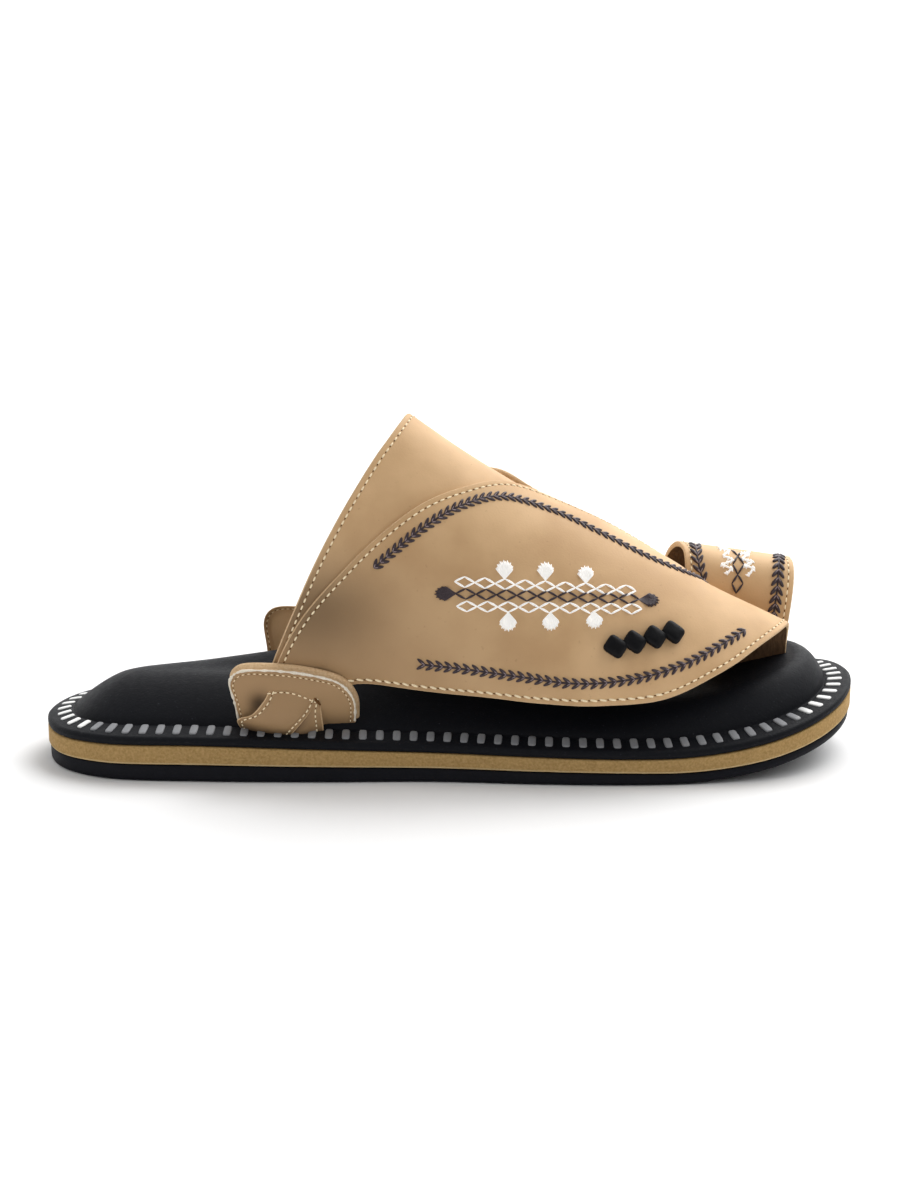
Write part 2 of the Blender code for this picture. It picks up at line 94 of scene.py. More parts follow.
def soft_step(low, high, value):
    """Soft step from 0 at low to 1 at high."""
    t = np.clip((value - low) / (high - low), 0.0, 1.0)
    return t * t * (3 - 2 * t)


def mix(a, b, share):
    """Value between a and b."""
    return a + (b - a) * share


def edge_shares(count):
    """Shares from 0 to 1 that crowd towards both ends, where a cut edge needs the most points."""
    return (1 - np.cos(np.pi * np.arange(count + 1) / count)) / 2


def round_curve(points, samples, closed=False):
    """Centripetal curve through points, with a number of samples in each span."""
    points = np.asarray(points, float)
    count = len(points)
    share = np.arange(samples)[:, None] / samples
    curve = []
    for i in range(count if closed else count - 1):
        numbers = np.arange(i - 1, i + 3)
        numbers = numbers % count if closed else np.clip(numbers, 0, count - 1)
        station = points[numbers]
        steps = np.sqrt(np.maximum(np.linalg.norm(np.diff(station, axis=0), axis=1), 1e-6))
        knots = np.concatenate(([0.0], np.cumsum(steps)))
        t = mix(knots[1], knots[2], share)
        level = list(station)
        for pairs in (((0, 1), (1, 2), (2, 3)), ((0, 2), (1, 3)), ((1, 2),)):
            weights = [(t - knots[low]) / (knots[high] - knots[low]) for low, high in pairs]
            level = [mix(level[k], level[k + 1], weight) for k, weight in enumerate(weights)]
        curve.append(level[0])
    curve = np.concatenate(curve)
    return curve if closed else np.vstack((curve, points[-1]))


print("half way up a soft step:", float(soft_step(0, 1, 0.5)))

# %% [markdown]
# ## The sole's sections
# The sole is three layers on one outline: outsole, midsole and padded footbed. The outline could be
# drawn as a curve object, but the layers all need it moved inwards by set amounts, so it is kept as
# points with an inward direction for each.

# %% Sole tables and heights
SoleRow = namedtuple("SoleRow", "x lateral medial outsole midsole dome shoulder")
HEEL_END = (0.0, -0.8)
TOE_END = (291.0, 10.0)
SOLE = [
    SoleRow(7, -21.5, 20.0, 5.4, 6.8, 10.0, 25.0),
    SoleRow(24, -33.2, 31.5, 5.8, 6.9, 12.0, 25.0),
    SoleRow(60, -37.1, 35.0, 6.0, 7.0, 13.0, 23.0),
    SoleRow(100, -37.8, 36.0, 5.5, 6.4, 12.6, 22.0),
    SoleRow(140, -37.4, 39.5, 5.0, 5.7, 11.0, 21.0),
    SoleRow(175, -40.0, 47.0, 4.6, 5.3, 10.0, 20.0),
    SoleRow(205, -41.0, 53.0, 4.3, 5.1, 9.6, 15.0),
    SoleRow(235, -39.0, 54.0, 3.8, 5.7, 11.0, 13.0),
    SoleRow(260, -33.5, 51.0, 3.5, 6.3, 13.0, 11.0),
    SoleRow(277, -22.5, 43.0, 3.3, 6.7, 12.8, 10.0),
    SoleRow(287, -8.0, 30.0, 3.2, 6.9, 12.5, 10.0),
]
TOE_SPRING = 13.6
SPRING_START = 216.0
LIP_HEIGHT = 3.0
FLANGE_WIDTH = 9.5
FLANGE_RISE = 1.9
DOME_ROUNDNESS = 0.8
ARCH_RISE = 13.5
ARCH_CENTRE = 108.0
ARCH_SPREAD = 42.0
ARCH_SIDES = (-5.0, 22.0)
SOLE_SAMPLES = 10

lateral_side = [(row.x, row.lateral) for row in SOLE]
medial_side = [(row.x, row.medial) for row in reversed(SOLE)]
OUTLINE = round_curve([HEEL_END, *lateral_side, TOE_END, *medial_side], SOLE_SAMPLES, closed=True)
travel = np.roll(OUTLINE, -1, axis=0) - np.roll(OUTLINE, 1, axis=0)
INWARD = np.stack((-travel[:, 1], travel[:, 0]), axis=1)
INWARD /= np.linalg.norm(INWARD, axis=1)[:, None]
midsole_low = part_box("midsole")[0]
SHIFT = np.array([midsole_low.x / MM, midsole_low.y / MM - OUTLINE[:, 1].min(), 0.0])


def placed(points):
    """Points in the frame's metres."""
    return (np.asarray(points, float) + SHIFT) * MM


def sole_rise(x):
    """Toe spring of the underside above the floor."""
    share = np.maximum(x - SPRING_START, 0.0) / (TOE_END[0] - SPRING_START)
    return TOE_SPRING * share**2


def outsole_top(x):
    """Height of the outsole's upper face."""
    return sole_rise(x) + smooth(SOLE, "x", "outsole", x)


def midsole_top(x):
    """Height of the midsole's upper face."""
    return outsole_top(x) + smooth(SOLE, "x", "midsole", x)


def footbed_top(x, y, inset):
    """Height of the footbed: a sloping flange, then the padded dome with its arch."""
    flange = midsole_top(x) + LIP_HEIGHT + FLANGE_RISE * np.clip(inset / FLANGE_WIDTH, 0, 1)
    shoulder = np.clip((inset - FLANGE_WIDTH) / smooth(SOLE, "x", "shoulder", x), 0, 1)
    crown = np.sin(shoulder * np.pi / 2) ** DOME_ROUNDNESS
    arch = ARCH_RISE * np.exp(-(((x - ARCH_CENTRE) / ARCH_SPREAD) ** 2)) * soft_step(*ARCH_SIDES, y)
    return flange + crown * (smooth(SOLE, "x", "dome", x) + arch)


print("outline of", len(OUTLINE), "points,", round(float(np.ptp(OUTLINE[:, 0])), 1), "mm long")

# %% [markdown]
# ## The camera, where the photograph was taken
# The eye stands 700 mm away on the little toe's side, a little above the sandal. The same numbers
# also turn any point into a pixel of the 900 by 1200 photograph, which later puts each embroidery
# stitch on the leather where it was seen.

# %% Camera
IMAGE_HEIGHT = 1200
SENSOR = 36.0
AIM = np.array([145.0, 6.0, 55.06])
EYE_DISTANCE = 700.0
EYE_ELEVATION = math.radians(14.2)
FOCAL_PIXELS = 1943.2
AIM_PIXEL = np.array([450.0, 598.0])
FORWARD = np.array([0.0, math.cos(EYE_ELEVATION), -math.sin(EYE_ELEVATION)])
RIGHT = np.array([1.0, 0.0, 0.0])
UP = np.cross(RIGHT, FORWARD)
EYE = AIM - EYE_DISTANCE * FORWARD


def to_photo(points):
    """Pixels of the photograph where points show."""
    ray = points - EYE
    reach = FOCAL_PIXELS / (ray @ FORWARD)
    return np.stack((AIM_PIXEL[0] + ray @ RIGHT * reach, AIM_PIXEL[1] - ray @ UP * reach), axis=-1)


camera = bpy.data.objects.new("camera", bpy.data.cameras.new("camera"))
camera.data.lens = FOCAL_PIXELS * SENSOR / IMAGE_HEIGHT
camera.data.sensor_width = SENSOR
camera.data.shift_y = (AIM_PIXEL[1] - IMAGE_HEIGHT / 2) / IMAGE_HEIGHT
camera.location = placed(EYE)
camera.rotation_euler = (math.pi / 2 - EYE_ELEVATION, 0.0, 0.0)
bpy.context.scene.collection.objects.link(camera)
bpy.context.scene.camera = camera
print("lens", round(camera.data.lens, 1), "mm; the aim shows at", to_photo(AIM))

# %% [markdown]
# ## Light and floor
# The photograph has one broad soft light overhead, towards the toe, and a white sweep all round. Three
# weaker lamps stand for the light that the sweep throws back. Big area lights make soft shadows with
# few samples. Floor and wall aren't part of the sandal.

# %% Lights and floor
Lamp = namedtuple("Lamp", "name place size power")
LAMPS = [
    Lamp("overhead", (850, 650, 1300), 1.4, 28.0),
    Lamp("toe_side", (900, -250, 700), 0.6, 2.3),
    Lamp("front_fill", (-350, -850, 600), 1.2, 2.4),
    Lamp("heel_side", (-750, -300, 500), 0.6, 1.4),
]
WORLD_LIGHT = 0.19
FLOOR_SIZE = 6.0
WALL_PLACE = 1.3
FLOOR_WHITE = (0.86, 0.86, 0.86, 1.0)
WALL_HEIGHT = 4.0
WALL_GLOW = 1.0


def link(made):
    """Puts a new object into the scene."""
    bpy.context.scene.collection.objects.link(made)
    return made


for row in LAMPS:
    lamp = link(bpy.data.objects.new(row.name, bpy.data.lights.new(row.name, "AREA")))
    lamp.data.size = row.size
    lamp.data.energy = row.power
    lamp.location = placed(row.place)
    lamp.rotation_euler = Vector(AIM - row.place).to_track_quat("-Z", "Y").to_euler()

world = bpy.data.worlds.new("white_sweep")
world.use_nodes = True
world.node_tree.nodes["Background"].inputs["Color"].default_value = (1.0, 1.0, 1.0, 1.0)
world.node_tree.nodes["Background"].inputs["Strength"].default_value = WORLD_LIGHT
bpy.context.scene.world = world
bpy.context.scene.view_settings.view_transform = "Standard"


def stage_plane(name, corners, glow):
    """A plain white plane that isn't part of the sandal."""
    mesh = bpy.data.meshes.new(name)
    mesh.from_pydata(corners, [], [(0, 1, 2, 3)])
    mesh.materials.append(bpy.data.materials.new(name + "_white"))
    mesh.materials[0].use_nodes = True
    shader = mesh.materials[0].node_tree.nodes["Principled BSDF"]
    shader.inputs["Base Color"].default_value = FLOOR_WHITE
    shader.inputs["Roughness"].default_value = 1.0
    shader.inputs["Specular IOR Level"].default_value = 0.0
    shader.inputs["Emission Color"].default_value = (1.0, 1.0, 1.0, 1.0)
    shader.inputs["Emission Strength"].default_value = glow
    link(bpy.data.objects.new(name, mesh))


half = FLOOR_SIZE / 2
stage_plane("floor", [(-half, -half, 0), (half, -half, 0), (half, half, 0), (-half, half, 0)], 0.0)
wall_feet = [(-half, WALL_PLACE, 0), (half, WALL_PLACE, 0)]
wall_top = [(half, WALL_PLACE, WALL_HEIGHT), (-half, WALL_PLACE, WALL_HEIGHT)]
stage_plane("wall", [*wall_feet, *wall_top], WALL_GLOW)
print(len(LAMPS), "soft lamps over a", FLOOR_SIZE, "m floor")

# %% [markdown]
# ## A bench for nodes
# Shaders and geometry trees are both made of nodes. One small class adds any node, and a wrapper
# round each output lets sums be written as sums, which reads better than a page of links.


# %% Node helpers
class Wire:
    """One output socket; arithmetic on wires adds Math nodes."""

    def __init__(self, bench, socket):
        self.bench = bench
        self.socket = socket

    def __add__(self, other):
        return self.bench.math("ADD", self, other)

    def __sub__(self, other):
        return self.bench.math("SUBTRACT", self, other)

    def __rsub__(self, other):
        return self.bench.math("SUBTRACT", other, self)

    def __mul__(self, other):
        return self.bench.math("MULTIPLY", self, other)

    def __truediv__(self, other):
        return self.bench.math("DIVIDE", self, other)

    def __pow__(self, other):
        return self.bench.math("POWER", self, other)

    __radd__ = __add__
    __rmul__ = __mul__


class Bench:
    """A node tree that nodes are added to."""

    def __init__(self, tree):
        self.tree = tree

    def put(self, entry, value):
        """Sets an input socket, or links a wire to it."""
        if isinstance(value, Wire):
            self.tree.links.new(value.socket, entry)
        else:
            entry.default_value = value

    def add(self, kind, settings=None, sockets=None, take=0):
        """Adds a node: settings first, then its sockets; gives back one of its outputs."""
        node = self.tree.nodes.new(kind)
        for name, value in (settings or {}).items():
            setattr(node, name, value)
        for name, value in (sockets or {}).items():
            self.put(node.inputs[name], value)
        return Wire(self, node.outputs[take])

    def math(self, operation, first, second=0.0):
        """One Math node."""
        return self.add("ShaderNodeMath", {"operation": operation}, {0: first, 1: second})

    def ramp(self, value, low, high):
        """0 below low, 1 above high, soft between."""
        settings = {"interpolation_type": "SMOOTHSTEP"}
        sockets = {"Value": value, "From Min": low, "From Max": high}
        return self.add("ShaderNodeMapRange", settings, sockets)

    def bell(self, value, centre, width):
        """A soft bump of 1 at a centre, falling away over a width."""
        return self.math("POWER", math.e, -1.0 * ((value - centre) / width) ** 2.0)

    def blend(self, share, first, second):
        """Colour between two colours."""
        return self.add("ShaderNodeMix", {"data_type": "RGBA"}, {0: share, 6: first, 7: second}, take=2)


def paint(red, green, blue):
    """A screen colour from 0 to 255 as the light it stands for."""
    parts = [channel / 255 for channel in (red, green, blue)]
    return (*(c / 12.92 if c < 0.04 else ((c + 0.055) / 1.055) ** 2.4 for c in parts), 1.0)


print("mid grey as light:", round(paint(128, 128, 128)[0], 3))

# %% [markdown]
# ## Finishes
# Each material is one shader with a few noises. Object coordinates keep the grain the same size on
# every piece. Where a finish changes near a cut edge, the mesh carries an attribute called edge that
# tells how many millimetres away the edge is. Another attribute darkens the ear's pit and foot, and the
# knot bands, most where they tuck under and where one lies under the other: painted shade.


# %% Finish class
class Finish(Bench):
    """A material with its shader and the usual sources of pattern."""

    def __init__(self, name, roughness, specular=0.4):
        self.material = bpy.data.materials.new(name)
        self.material.use_nodes = True
        super().__init__(self.material.node_tree)
        self.shader = self.tree.nodes["Principled BSDF"]
        self.set("Roughness", roughness)
        self.set("Specular IOR Level", specular)
        self.place = self.add("ShaderNodeTexCoord", take="Object")

    def set(self, name, value):
        """Sets one of the shader's own sockets."""
        self.put(self.shader.inputs[name], value)

    def noise(self, size, detail=2.0, stretch=(1.0, 1.0, 1.0)):
        """Noise from 0 to 1 with features about a size in millimetres, drawn out along axes."""
        scale = {"Vector": self.place, "Scale": stretch}
        vector = self.add("ShaderNodeMapping", {"vector_type": "TEXTURE"}, scale)
        grain = {"Vector": vector, "Scale": 1 / (size * MM), "Detail": detail}
        return self.add("ShaderNodeTexNoise", None, grain)

    def mm(self, axis):
        """Place along one axis of the tables, in millimetres."""
        parts = self.add("ShaderNodeSeparateXYZ", None, {0: self.place}, take=axis)
        return parts / MM - SHIFT["XYZ".index(axis)]

    def mark(self, name):
        """A number that the mesh carries at every point, such as edge or the painted shade of recesses.
        """
        return self.add("ShaderNodeAttribute", {"attribute_name": name}, take="Fac")

    def bump(self, height, depth):
        """Bumps the surface by a height that is worth a depth in millimetres."""
        self.set("Normal", self.add("ShaderNodeBump", None, {"Distance": depth * MM, "Height": height}))


print("each finish starts from a", Finish.__base__.__name__)

# %% [markdown]
# ## Leather
# The face is smooth tan leather with a soft cloud of darker tan. On the little toe's side the face is
# painted darker low towards the heel, and darker still just above the ear: painted shade. The flesh side
# is brushed suede, and a cut edge shows paler fibres. A painted image could hold all this, but noises
# and soft bells have no seams and no size limit.

# %% Leather finishes
TAN_DARK = paint(192, 154, 110)
TAN_LIGHT = paint(214, 177, 132)
# Painted shade: the tan that the face turns to low towards the heel on the little toe's side.
TAN_HEEL_SHADE = paint(165, 132, 94)
# Painted shade: a deeper brown for a patch on the straps just above the ear.
TAN_DEEP_SHADE = paint(112, 88, 60)
# Painted shade in recesses: the dark brown that the marked pits and tucks turn to.
TAN_RECESS_SHADE = paint(54, 38, 24)
TAN_SPOT = paint(150, 114, 76)
HEEL_SHADE_X = (85.0, 215.0)
HEEL_SHADE_Y = (-22.0, 5.0)
HEEL_SHADE_Z = (30.0, 105.0)
HEEL_SHADE_SHARE = 0.9
DEEP_SHADE_X = (98.0, 24.0)
DEEP_SHADE_Z = (59.0, 16.0)
DEEP_SHADE_SHARE = 0.8
SPECK_SHARE = 0.3
STITCH_INSET = 1.75
TROUGH_WIDTH = 0.45

tan = Finish("tan_leather", 0.62)
cloud = tan.ramp(tan.noise(28, 4.0), 0.3, 0.7)
speck = tan.ramp(tan.noise(1.6, 3.0), 0.66, 0.78) * SPECK_SHARE
heel_share = 1.0 - tan.ramp(tan.mm("X"), *HEEL_SHADE_X)
low_share = 1.0 - tan.ramp(tan.mm("Z"), *HEEL_SHADE_Z)
near_share = 1.0 - tan.ramp(tan.mm("Y"), *HEEL_SHADE_Y)
# Painted shade, strongest low towards the heel on the little toe's side.
heel_shade = heel_share * low_share * near_share * HEEL_SHADE_SHARE
# Painted shade: a darker patch on the straps just above the ear, on the little toe's side.
deep_shade = tan.bell(tan.mm("X"), *DEEP_SHADE_X) * tan.bell(tan.mm("Z"), *DEEP_SHADE_Z) * near_share * DEEP_SHADE_SHARE
tan_mix = tan.blend(heel_shade, tan.blend(cloud, TAN_DARK, TAN_LIGHT), TAN_HEEL_SHADE)
tan_mix = tan.blend(deep_shade, tan_mix, TAN_DEEP_SHADE)
# Painted shade in the ear's pit and under the bands, as marked on the mesh.
tan_mix = tan.blend(tan.mark("grime"), tan_mix, TAN_RECESS_SHADE)
tan.set("Base Color", tan.blend(speck, tan_mix, TAN_SPOT))
tan.set("Roughness", 0.56 + 0.16 * tan.noise(3.5, 4.0))
trough = tan.bell(tan.mark("edge"), STITCH_INSET, TROUGH_WIDTH)
tan.bump(tan.noise(0.7, 5.0) * 0.3 + tan.noise(5.0, 3.0) * 0.15 - trough * 0.9, 0.2)

flesh = Finish("leather_flesh_side", 0.9, 0.15)
fibre = flesh.noise(1.1, 5.0, (1.0, 1.0, 4.0))
flesh.set("Base Color", flesh.blend(fibre, paint(60, 44, 32), paint(128, 98, 70)))
flesh.bump(fibre, 0.5)

cut = Finish("leather_cut_edge", 0.75, 0.25)
cut.set("Base Color", cut.blend(cut.noise(0.8, 4.0), paint(182, 142, 98), paint(234, 206, 166)))
cut.bump(cut.noise(0.5, 4.0), 0.2)
print("leather:", tan.material.name, flesh.material.name, cut.material.name)

# %% [markdown]
# ## Foam, rubber and bars
# The footbed's cover is black with a fine fleck, and the outsole is plain black rubber. The midsole's
# foam has open pores and a pale line where it was trimmed. The bars are white at heel and toe, and the
# grey between is painted shade. Near the heel they point inwards, so the change of colour runs along a
# slanting line there, where x and the distance from the middle add up to a set sum, and no bar is cut in
# two.

# %% Sole finishes
padding = Finish("black_padding", 0.5, 0.15)
fleck = padding.ramp(padding.noise(0.75, 2.0), 0.68, 0.76)
padding.set("Base Color", padding.blend(fleck * 0.2, paint(9, 11, 17), paint(92, 94, 104)))
padding.set("Roughness", 0.52 + 0.2 * padding.noise(2.2, 4.0))
padding.bump(padding.noise(0.7, 4.0), 0.16)

foam = Finish("tan_foam", 0.85, 0.2)
pore = foam.noise(0.8, 4.0)
foam_tan = foam.blend(pore, paint(126, 98, 54), paint(200, 165, 110))
pale_line = 1.0 - foam.ramp(foam.mark("edge"), 0.5, 0.9)
foam.set("Base Color", foam.blend(pale_line * 0.55, foam_tan, paint(222, 200, 156)))
foam.bump(pore, 0.3)

rubber = Finish("black_rubber", 0.6, 0.15)
rubber.set("Base Color", rubber.blend(rubber.noise(3, 4.0), paint(8, 9, 15), paint(17, 18, 26)))
rubber.bump(rubber.noise(0.6, 3.0), 0.12)

# Painted shade: the grey of the bars along the sides; the bars at heel and toe are white.
BAR_SHADE_GREY = paint(131, 132, 135)
BAR_WHITE = paint(240, 240, 238)
HEEL_WHITE_SUM = 44.1
TOE_WHITE_START = 265.0
TOE_WHITE_FULL = 272.0
bars = Finish("border_bars", 0.6, 0.3)
corner = bars.mm("X") + bars.math("ABSOLUTE", bars.mm("Y"))
heel_white = bars.math("LESS_THAN", corner, HEEL_WHITE_SUM)
toe_white = bars.ramp(bars.mm("X"), TOE_WHITE_START, TOE_WHITE_FULL)
white_share = bars.math("MAXIMUM", heel_white, toe_white)
bars.set("Base Color", bars.blend(white_share, BAR_SHADE_GREY, BAR_WHITE))
bars.bump(bars.noise(0.5, 3.0), 0.1)

bead_black = Finish("bead_black", 0.5, 0.14)
bead_black.set("Base Color", paint(8, 8, 11))
bead_black.bump(bead_black.noise(0.8, 3.0), 0.08)
print("sole:", padding.material.name, foam.material.name, rubber.material.name)

# %% [markdown]
# ## Threads
# Spun thread is fine streaks between two shades. White and cream glow a little, which stands for the
# light that real fibres scatter and a plain surface would not.


# %% Thread finishes
def thread_finish(name, dark, light, roughness):
    """Spun thread: fine streaks between two shades."""
    made = Finish(name, roughness, 0.35)
    streak = made.noise(0.35, 3.0)
    made.set("Base Color", made.blend(streak, dark, light))
    made.bump(streak, 0.08)
    return made


cream = thread_finish("cream_thread", paint(228, 204, 160), paint(255, 243, 214), 0.7)
plum = thread_finish("plum_thread", paint(29, 22, 25), paint(79, 65, 71), 0.4)
# Lilac is painted highlight: the shine along the middle of each plum chain arm.
lilac_highlight = thread_finish("lilac_thread", paint(96, 82, 86), paint(182, 164, 166), 0.4)
white = thread_finish("white_thread", paint(216, 211, 202), paint(255, 253, 250), 0.6)
raw = thread_finish("raw_edge", paint(214, 198, 170), paint(255, 250, 240), 0.85)
for bright, tint, glow in ((white, (255, 255, 255), 0.22), (cream, (255, 236, 196), 0.07)):
    bright.set("Emission Color", paint(*tint))
    bright.set("Emission Strength", glow)
# Painted shade: needle holes and slit ends are dark brown marks for the shade inside them.
hole = Finish("needle_hole", 0.9, 0.1)
hole.set("Base Color", paint(104, 73, 43))
print("thread:", ", ".join(made.material.name for made in (cream, plum, lilac_highlight, white, raw)))

# %% [markdown]
# ## Shapes from grids
# A strap is a grid of points on its face and a second grid on its back, joined by a rounded rim. Grids
# made straight from the tables stay exact at the edges, which a modelled and subdivided sheet would
# not. The three sides of the leather have three finishes: the tan face, the dark flesh side and the
# pale cut edge.


# %% Shape builder
JOIN = 2e-6
RIM_ROUND = (-0.5, -0.25, 0.0, 0.25, 0.5)
RIM_BULGE = 0.45
FAR_FROM_EDGE = 9.0


class Shape:
    """Gathers grids of points into one mesh piece."""

    def __init__(self):
        self.points = []
        self.marks = {"edge": [], "grime": []}
        self.faces = []
        self.finishes = []
        self.count = 0

    def grid(self, points, finish=0, edge=FAR_FROM_EDGE, grime=0.0, loop=False):
        """Adds a grid of quads; loop joins its last column to its first."""
        rows, columns = points.shape[:2]
        numbers = self.count + np.arange(rows * columns).reshape(rows, columns)
        self.points.append(points.reshape(-1, 3))
        for name, mark in (("edge", edge), ("grime", grime)):
            self.marks[name].append(np.broadcast_to(mark, (rows, columns)).reshape(-1))
        self.count += rows * columns
        if loop:
            numbers = np.hstack((numbers, numbers[:, :1]))
        corners = (numbers[:-1, :-1], numbers[1:, :-1], numbers[1:, 1:], numbers[:-1, 1:])
        quads = np.stack(corners, axis=-1).reshape(-1, 4)
        self.faces += quads.tolist()
        self.finishes += [finish] * len(quads)

    def sheet(self, face, back, edge=FAR_FROM_EDGE, grime=0.0, face_finish=0):
        """Adds leather between two grids, with a rounded rim all round."""
        self.grid(face, face_finish, edge, grime)
        self.grid(back, 1, edge)
        middle = (face + back) / 2
        rows, columns = middle.shape[:2]
        inner_rows = np.clip(np.arange(rows), 1, rows - 2)
        inner_columns = np.clip(np.arange(columns), 1, columns - 2)
        outward = middle - middle[inner_rows][:, inner_columns]
        outward /= np.maximum(np.linalg.norm(outward, axis=-1), 1e-9)[..., None]
        turn = np.pi * np.array(RIM_ROUND)[:, None, None]
        arm = border(face - middle) * np.sin(turn) + border(outward) * RIM_BULGE * np.cos(turn)
        self.grid(border(middle) + arm, 2, 0.0, loop=True)

    def make(self, name, finishes):
        """The closed mesh as a new object."""
        mesh = bpy.data.meshes.new(name)
        mesh.from_pydata(placed(np.concatenate(self.points)).tolist(), [], self.faces)
        for finish in finishes:
            mesh.materials.append(finish.material)
        mesh.polygons.foreach_set("material_index", self.finishes)
        for mark, values in self.marks.items():
            layer = mesh.attributes.new(mark, "FLOAT", "POINT")
            layer.data.foreach_set("value", np.concatenate(values).astype(np.float32))
        shape = bmesh.new()
        shape.from_mesh(mesh)
        bmesh.ops.remove_doubles(shape, verts=shape.verts, dist=JOIN)
        bmesh.ops.dissolve_degenerate(shape, edges=shape.edges, dist=JOIN)
        bmesh.ops.recalc_face_normals(shape, faces=shape.faces)
        shape.to_mesh(mesh)
        open_edges = sum(1 for edge in shape.edges if len(edge.link_faces) != 2)
        shape.free()
        mesh.shade_smooth()
        print(name, "has", len(mesh.polygons), "faces and", open_edges, "open edges")
        return link(bpy.data.objects.new(name, mesh))


def border(grid):
    """The outer loop of a grid."""
    return np.concatenate((grid[0, :-1], grid[:-1, -1], grid[-1, :0:-1], grid[:0:-1, 0]))


def hand_in(piece, slot, *nodes):
    """Gives a piece its body, and hides the plain solids it stands for. Its slot is not used."""
    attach(piece, "root")
    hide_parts(*nodes)


print("a leather rim has", len(RIM_ROUND), "points across")

# %% [markdown]
# ## The sole
# Outsole, midsole and footbed are lofts of the outline at several insets. A real footbed is foam under
# a glued cover that was pressed in a mould, so its dome comes from a formula and not from a cloth
# simulation.

# %% Loops and caps
EDGE_ROUNDING = 0.6
LAYER_GAP = 0.3
RUNG_POINTS = 25
SEAM_DIP = 0.5
SEAM_DIP_WIDTH = 0.5


def loop_at(inset, height):
    """The outline moved inwards, at heights given by x, y and inset."""
    x, y = (OUTLINE + INWARD * inset).T
    return np.stack((x, y, height(x, y, inset)), axis=1)


def laps(base, steps):
    """Loops at pairs of an inset and a rise above a base height."""
    return [loop_at(inset, lambda x, y, d, r=rise: base(x) + r) for inset, rise in steps]


def from_outline(places):
    """Distance of places inside the sole from its outline."""
    run = np.roll(OUTLINE, -1, axis=0) - OUTLINE
    offset = places[..., None, :] - OUTLINE
    share = np.clip(np.sum(offset * run, axis=-1) / np.sum(run * run, axis=-1), 0, 1)
    return np.linalg.norm(offset - share[..., None] * run, axis=-1).min(axis=-1)


def cap(loop, height=None):
    """Rungs across a loop from its lateral to its medial half, at heights of their own or flat."""
    numbers = np.arange(len(loop) // 2 + 1)
    lateral = loop[numbers]
    medial = loop[-numbers]
    grid = mix(lateral[:, None], medial[:, None], np.linspace(0, 1, RUNG_POINTS)[None, :, None])
    if height:
        inner = grid[:, 1:-1]
        grid[:, 1:-1, 2] = height(inner[..., 0], inner[..., 1], from_outline(inner[..., :2]))
        grid[0] = lateral[0]
        grid[-1] = lateral[-1]
    return grid


def padded_top(x, y, inset):
    """The footbed's top with a sewn dip where dome and flange meet."""
    dip = math.exp(-(((inset - FLANGE_WIDTH) / SEAM_DIP_WIDTH) ** 2))
    return footbed_top(x, y, inset) - SEAM_DIP * dip


def sole_layer(node, loops, finish, slot, edge=FAR_FROM_EDGE, top=None):
    """One layer of the sole: its side from loops, closed by a cap below and above."""
    shape = Shape()
    shape.grid(np.stack(loops), edge=edge, loop=True)
    shape.grid(cap(loops[0]))
    shape.grid(cap(loops[-1], top))
    piece = shape.make(node + "_look", [finish])
    hand_in(piece, slot, node)
    return piece


print("a cap has", RUNG_POINTS, "points on every rung")

# %% Outsole, midsole and footbed
OUTSOLE_LOW = [(2.0, 0.0), (1.2, 0.25), (2.0 / 3, 1.6 / 3), (EDGE_ROUNDING, 1.6)]
OUTSOLE_HIGH = [(EDGE_ROUNDING, -0.3), (1.0, 0.0)]
MIDSOLE_RISES = (0.0, 0.3, 0.6, 1.0, 2.0)
MIDSOLE_HIGH = [(0.0, -EDGE_ROUNDING), (0.2, -0.2), (EDGE_ROUNDING, 0.0)]
MIDSOLE_PLAIN = 5.0
FOOTBED_EDGE = [
    (EDGE_ROUNDING, LAYER_GAP),
    (0.2, LAYER_GAP + 0.2),
    (0.0, LAYER_GAP + EDGE_ROUNDING),
    (0.0, LIP_HEIGHT - 2 * EDGE_ROUNDING),
    (0.15, LIP_HEIGHT - EDGE_ROUNDING),
    (EDGE_ROUNDING, LIP_HEIGHT - LAYER_GAP / 3),
]
FLANGE_INSETS = (1.0, 1.6, 2.6, 4.0, 5.5, 7.5, 8.9, 9.3, 9.5)
DOME_INSETS = (9.7, 10.1, 10.6, 11.2, 12.0, 13.0, 14.2, 15.5, 17.2, 19.0, 20.5)

outsole_loops = laps(sole_rise, OUTSOLE_LOW) + laps(outsole_top, OUTSOLE_HIGH)
sole_layer("outsole", outsole_loops, rubber, "outsole_rubber")

midsole_low_steps = []
for rise in MIDSOLE_RISES:
    rounding = max(1 - rise / EDGE_ROUNDING, 0.0) ** 2
    midsole_low_steps.append((EDGE_ROUNDING * rounding, LAYER_GAP + rise))
midsole_loops = laps(outsole_top, midsole_low_steps) + laps(midsole_top, MIDSOLE_HIGH)
midsole_edge = np.array([*MIDSOLE_RISES, *[MIDSOLE_PLAIN] * len(MIDSOLE_HIGH)])[:, None]
sole_layer("midsole", midsole_loops, foam, "midsole_foam", midsole_edge)

footbed_loops = laps(midsole_top, FOOTBED_EDGE)
footbed_loops += [loop_at(inset, padded_top) for inset in FLANGE_INSETS + DOME_INSETS]
footbed_look = sole_layer("footbed", footbed_loops, padding, "footbed_padding", top=footbed_top)

# %% [markdown]
# ## The upper's sections
# Panel and straps lie in layers over one tunnel, shaped like the foot inside. A place on the tunnel is
# given by x and by an angle, 0 on the little toe's side, 90 at the ridge and 180 on the big toe's side.
# A cloth simulation would sag; sewn leather that was shaped on a last keeps this form.

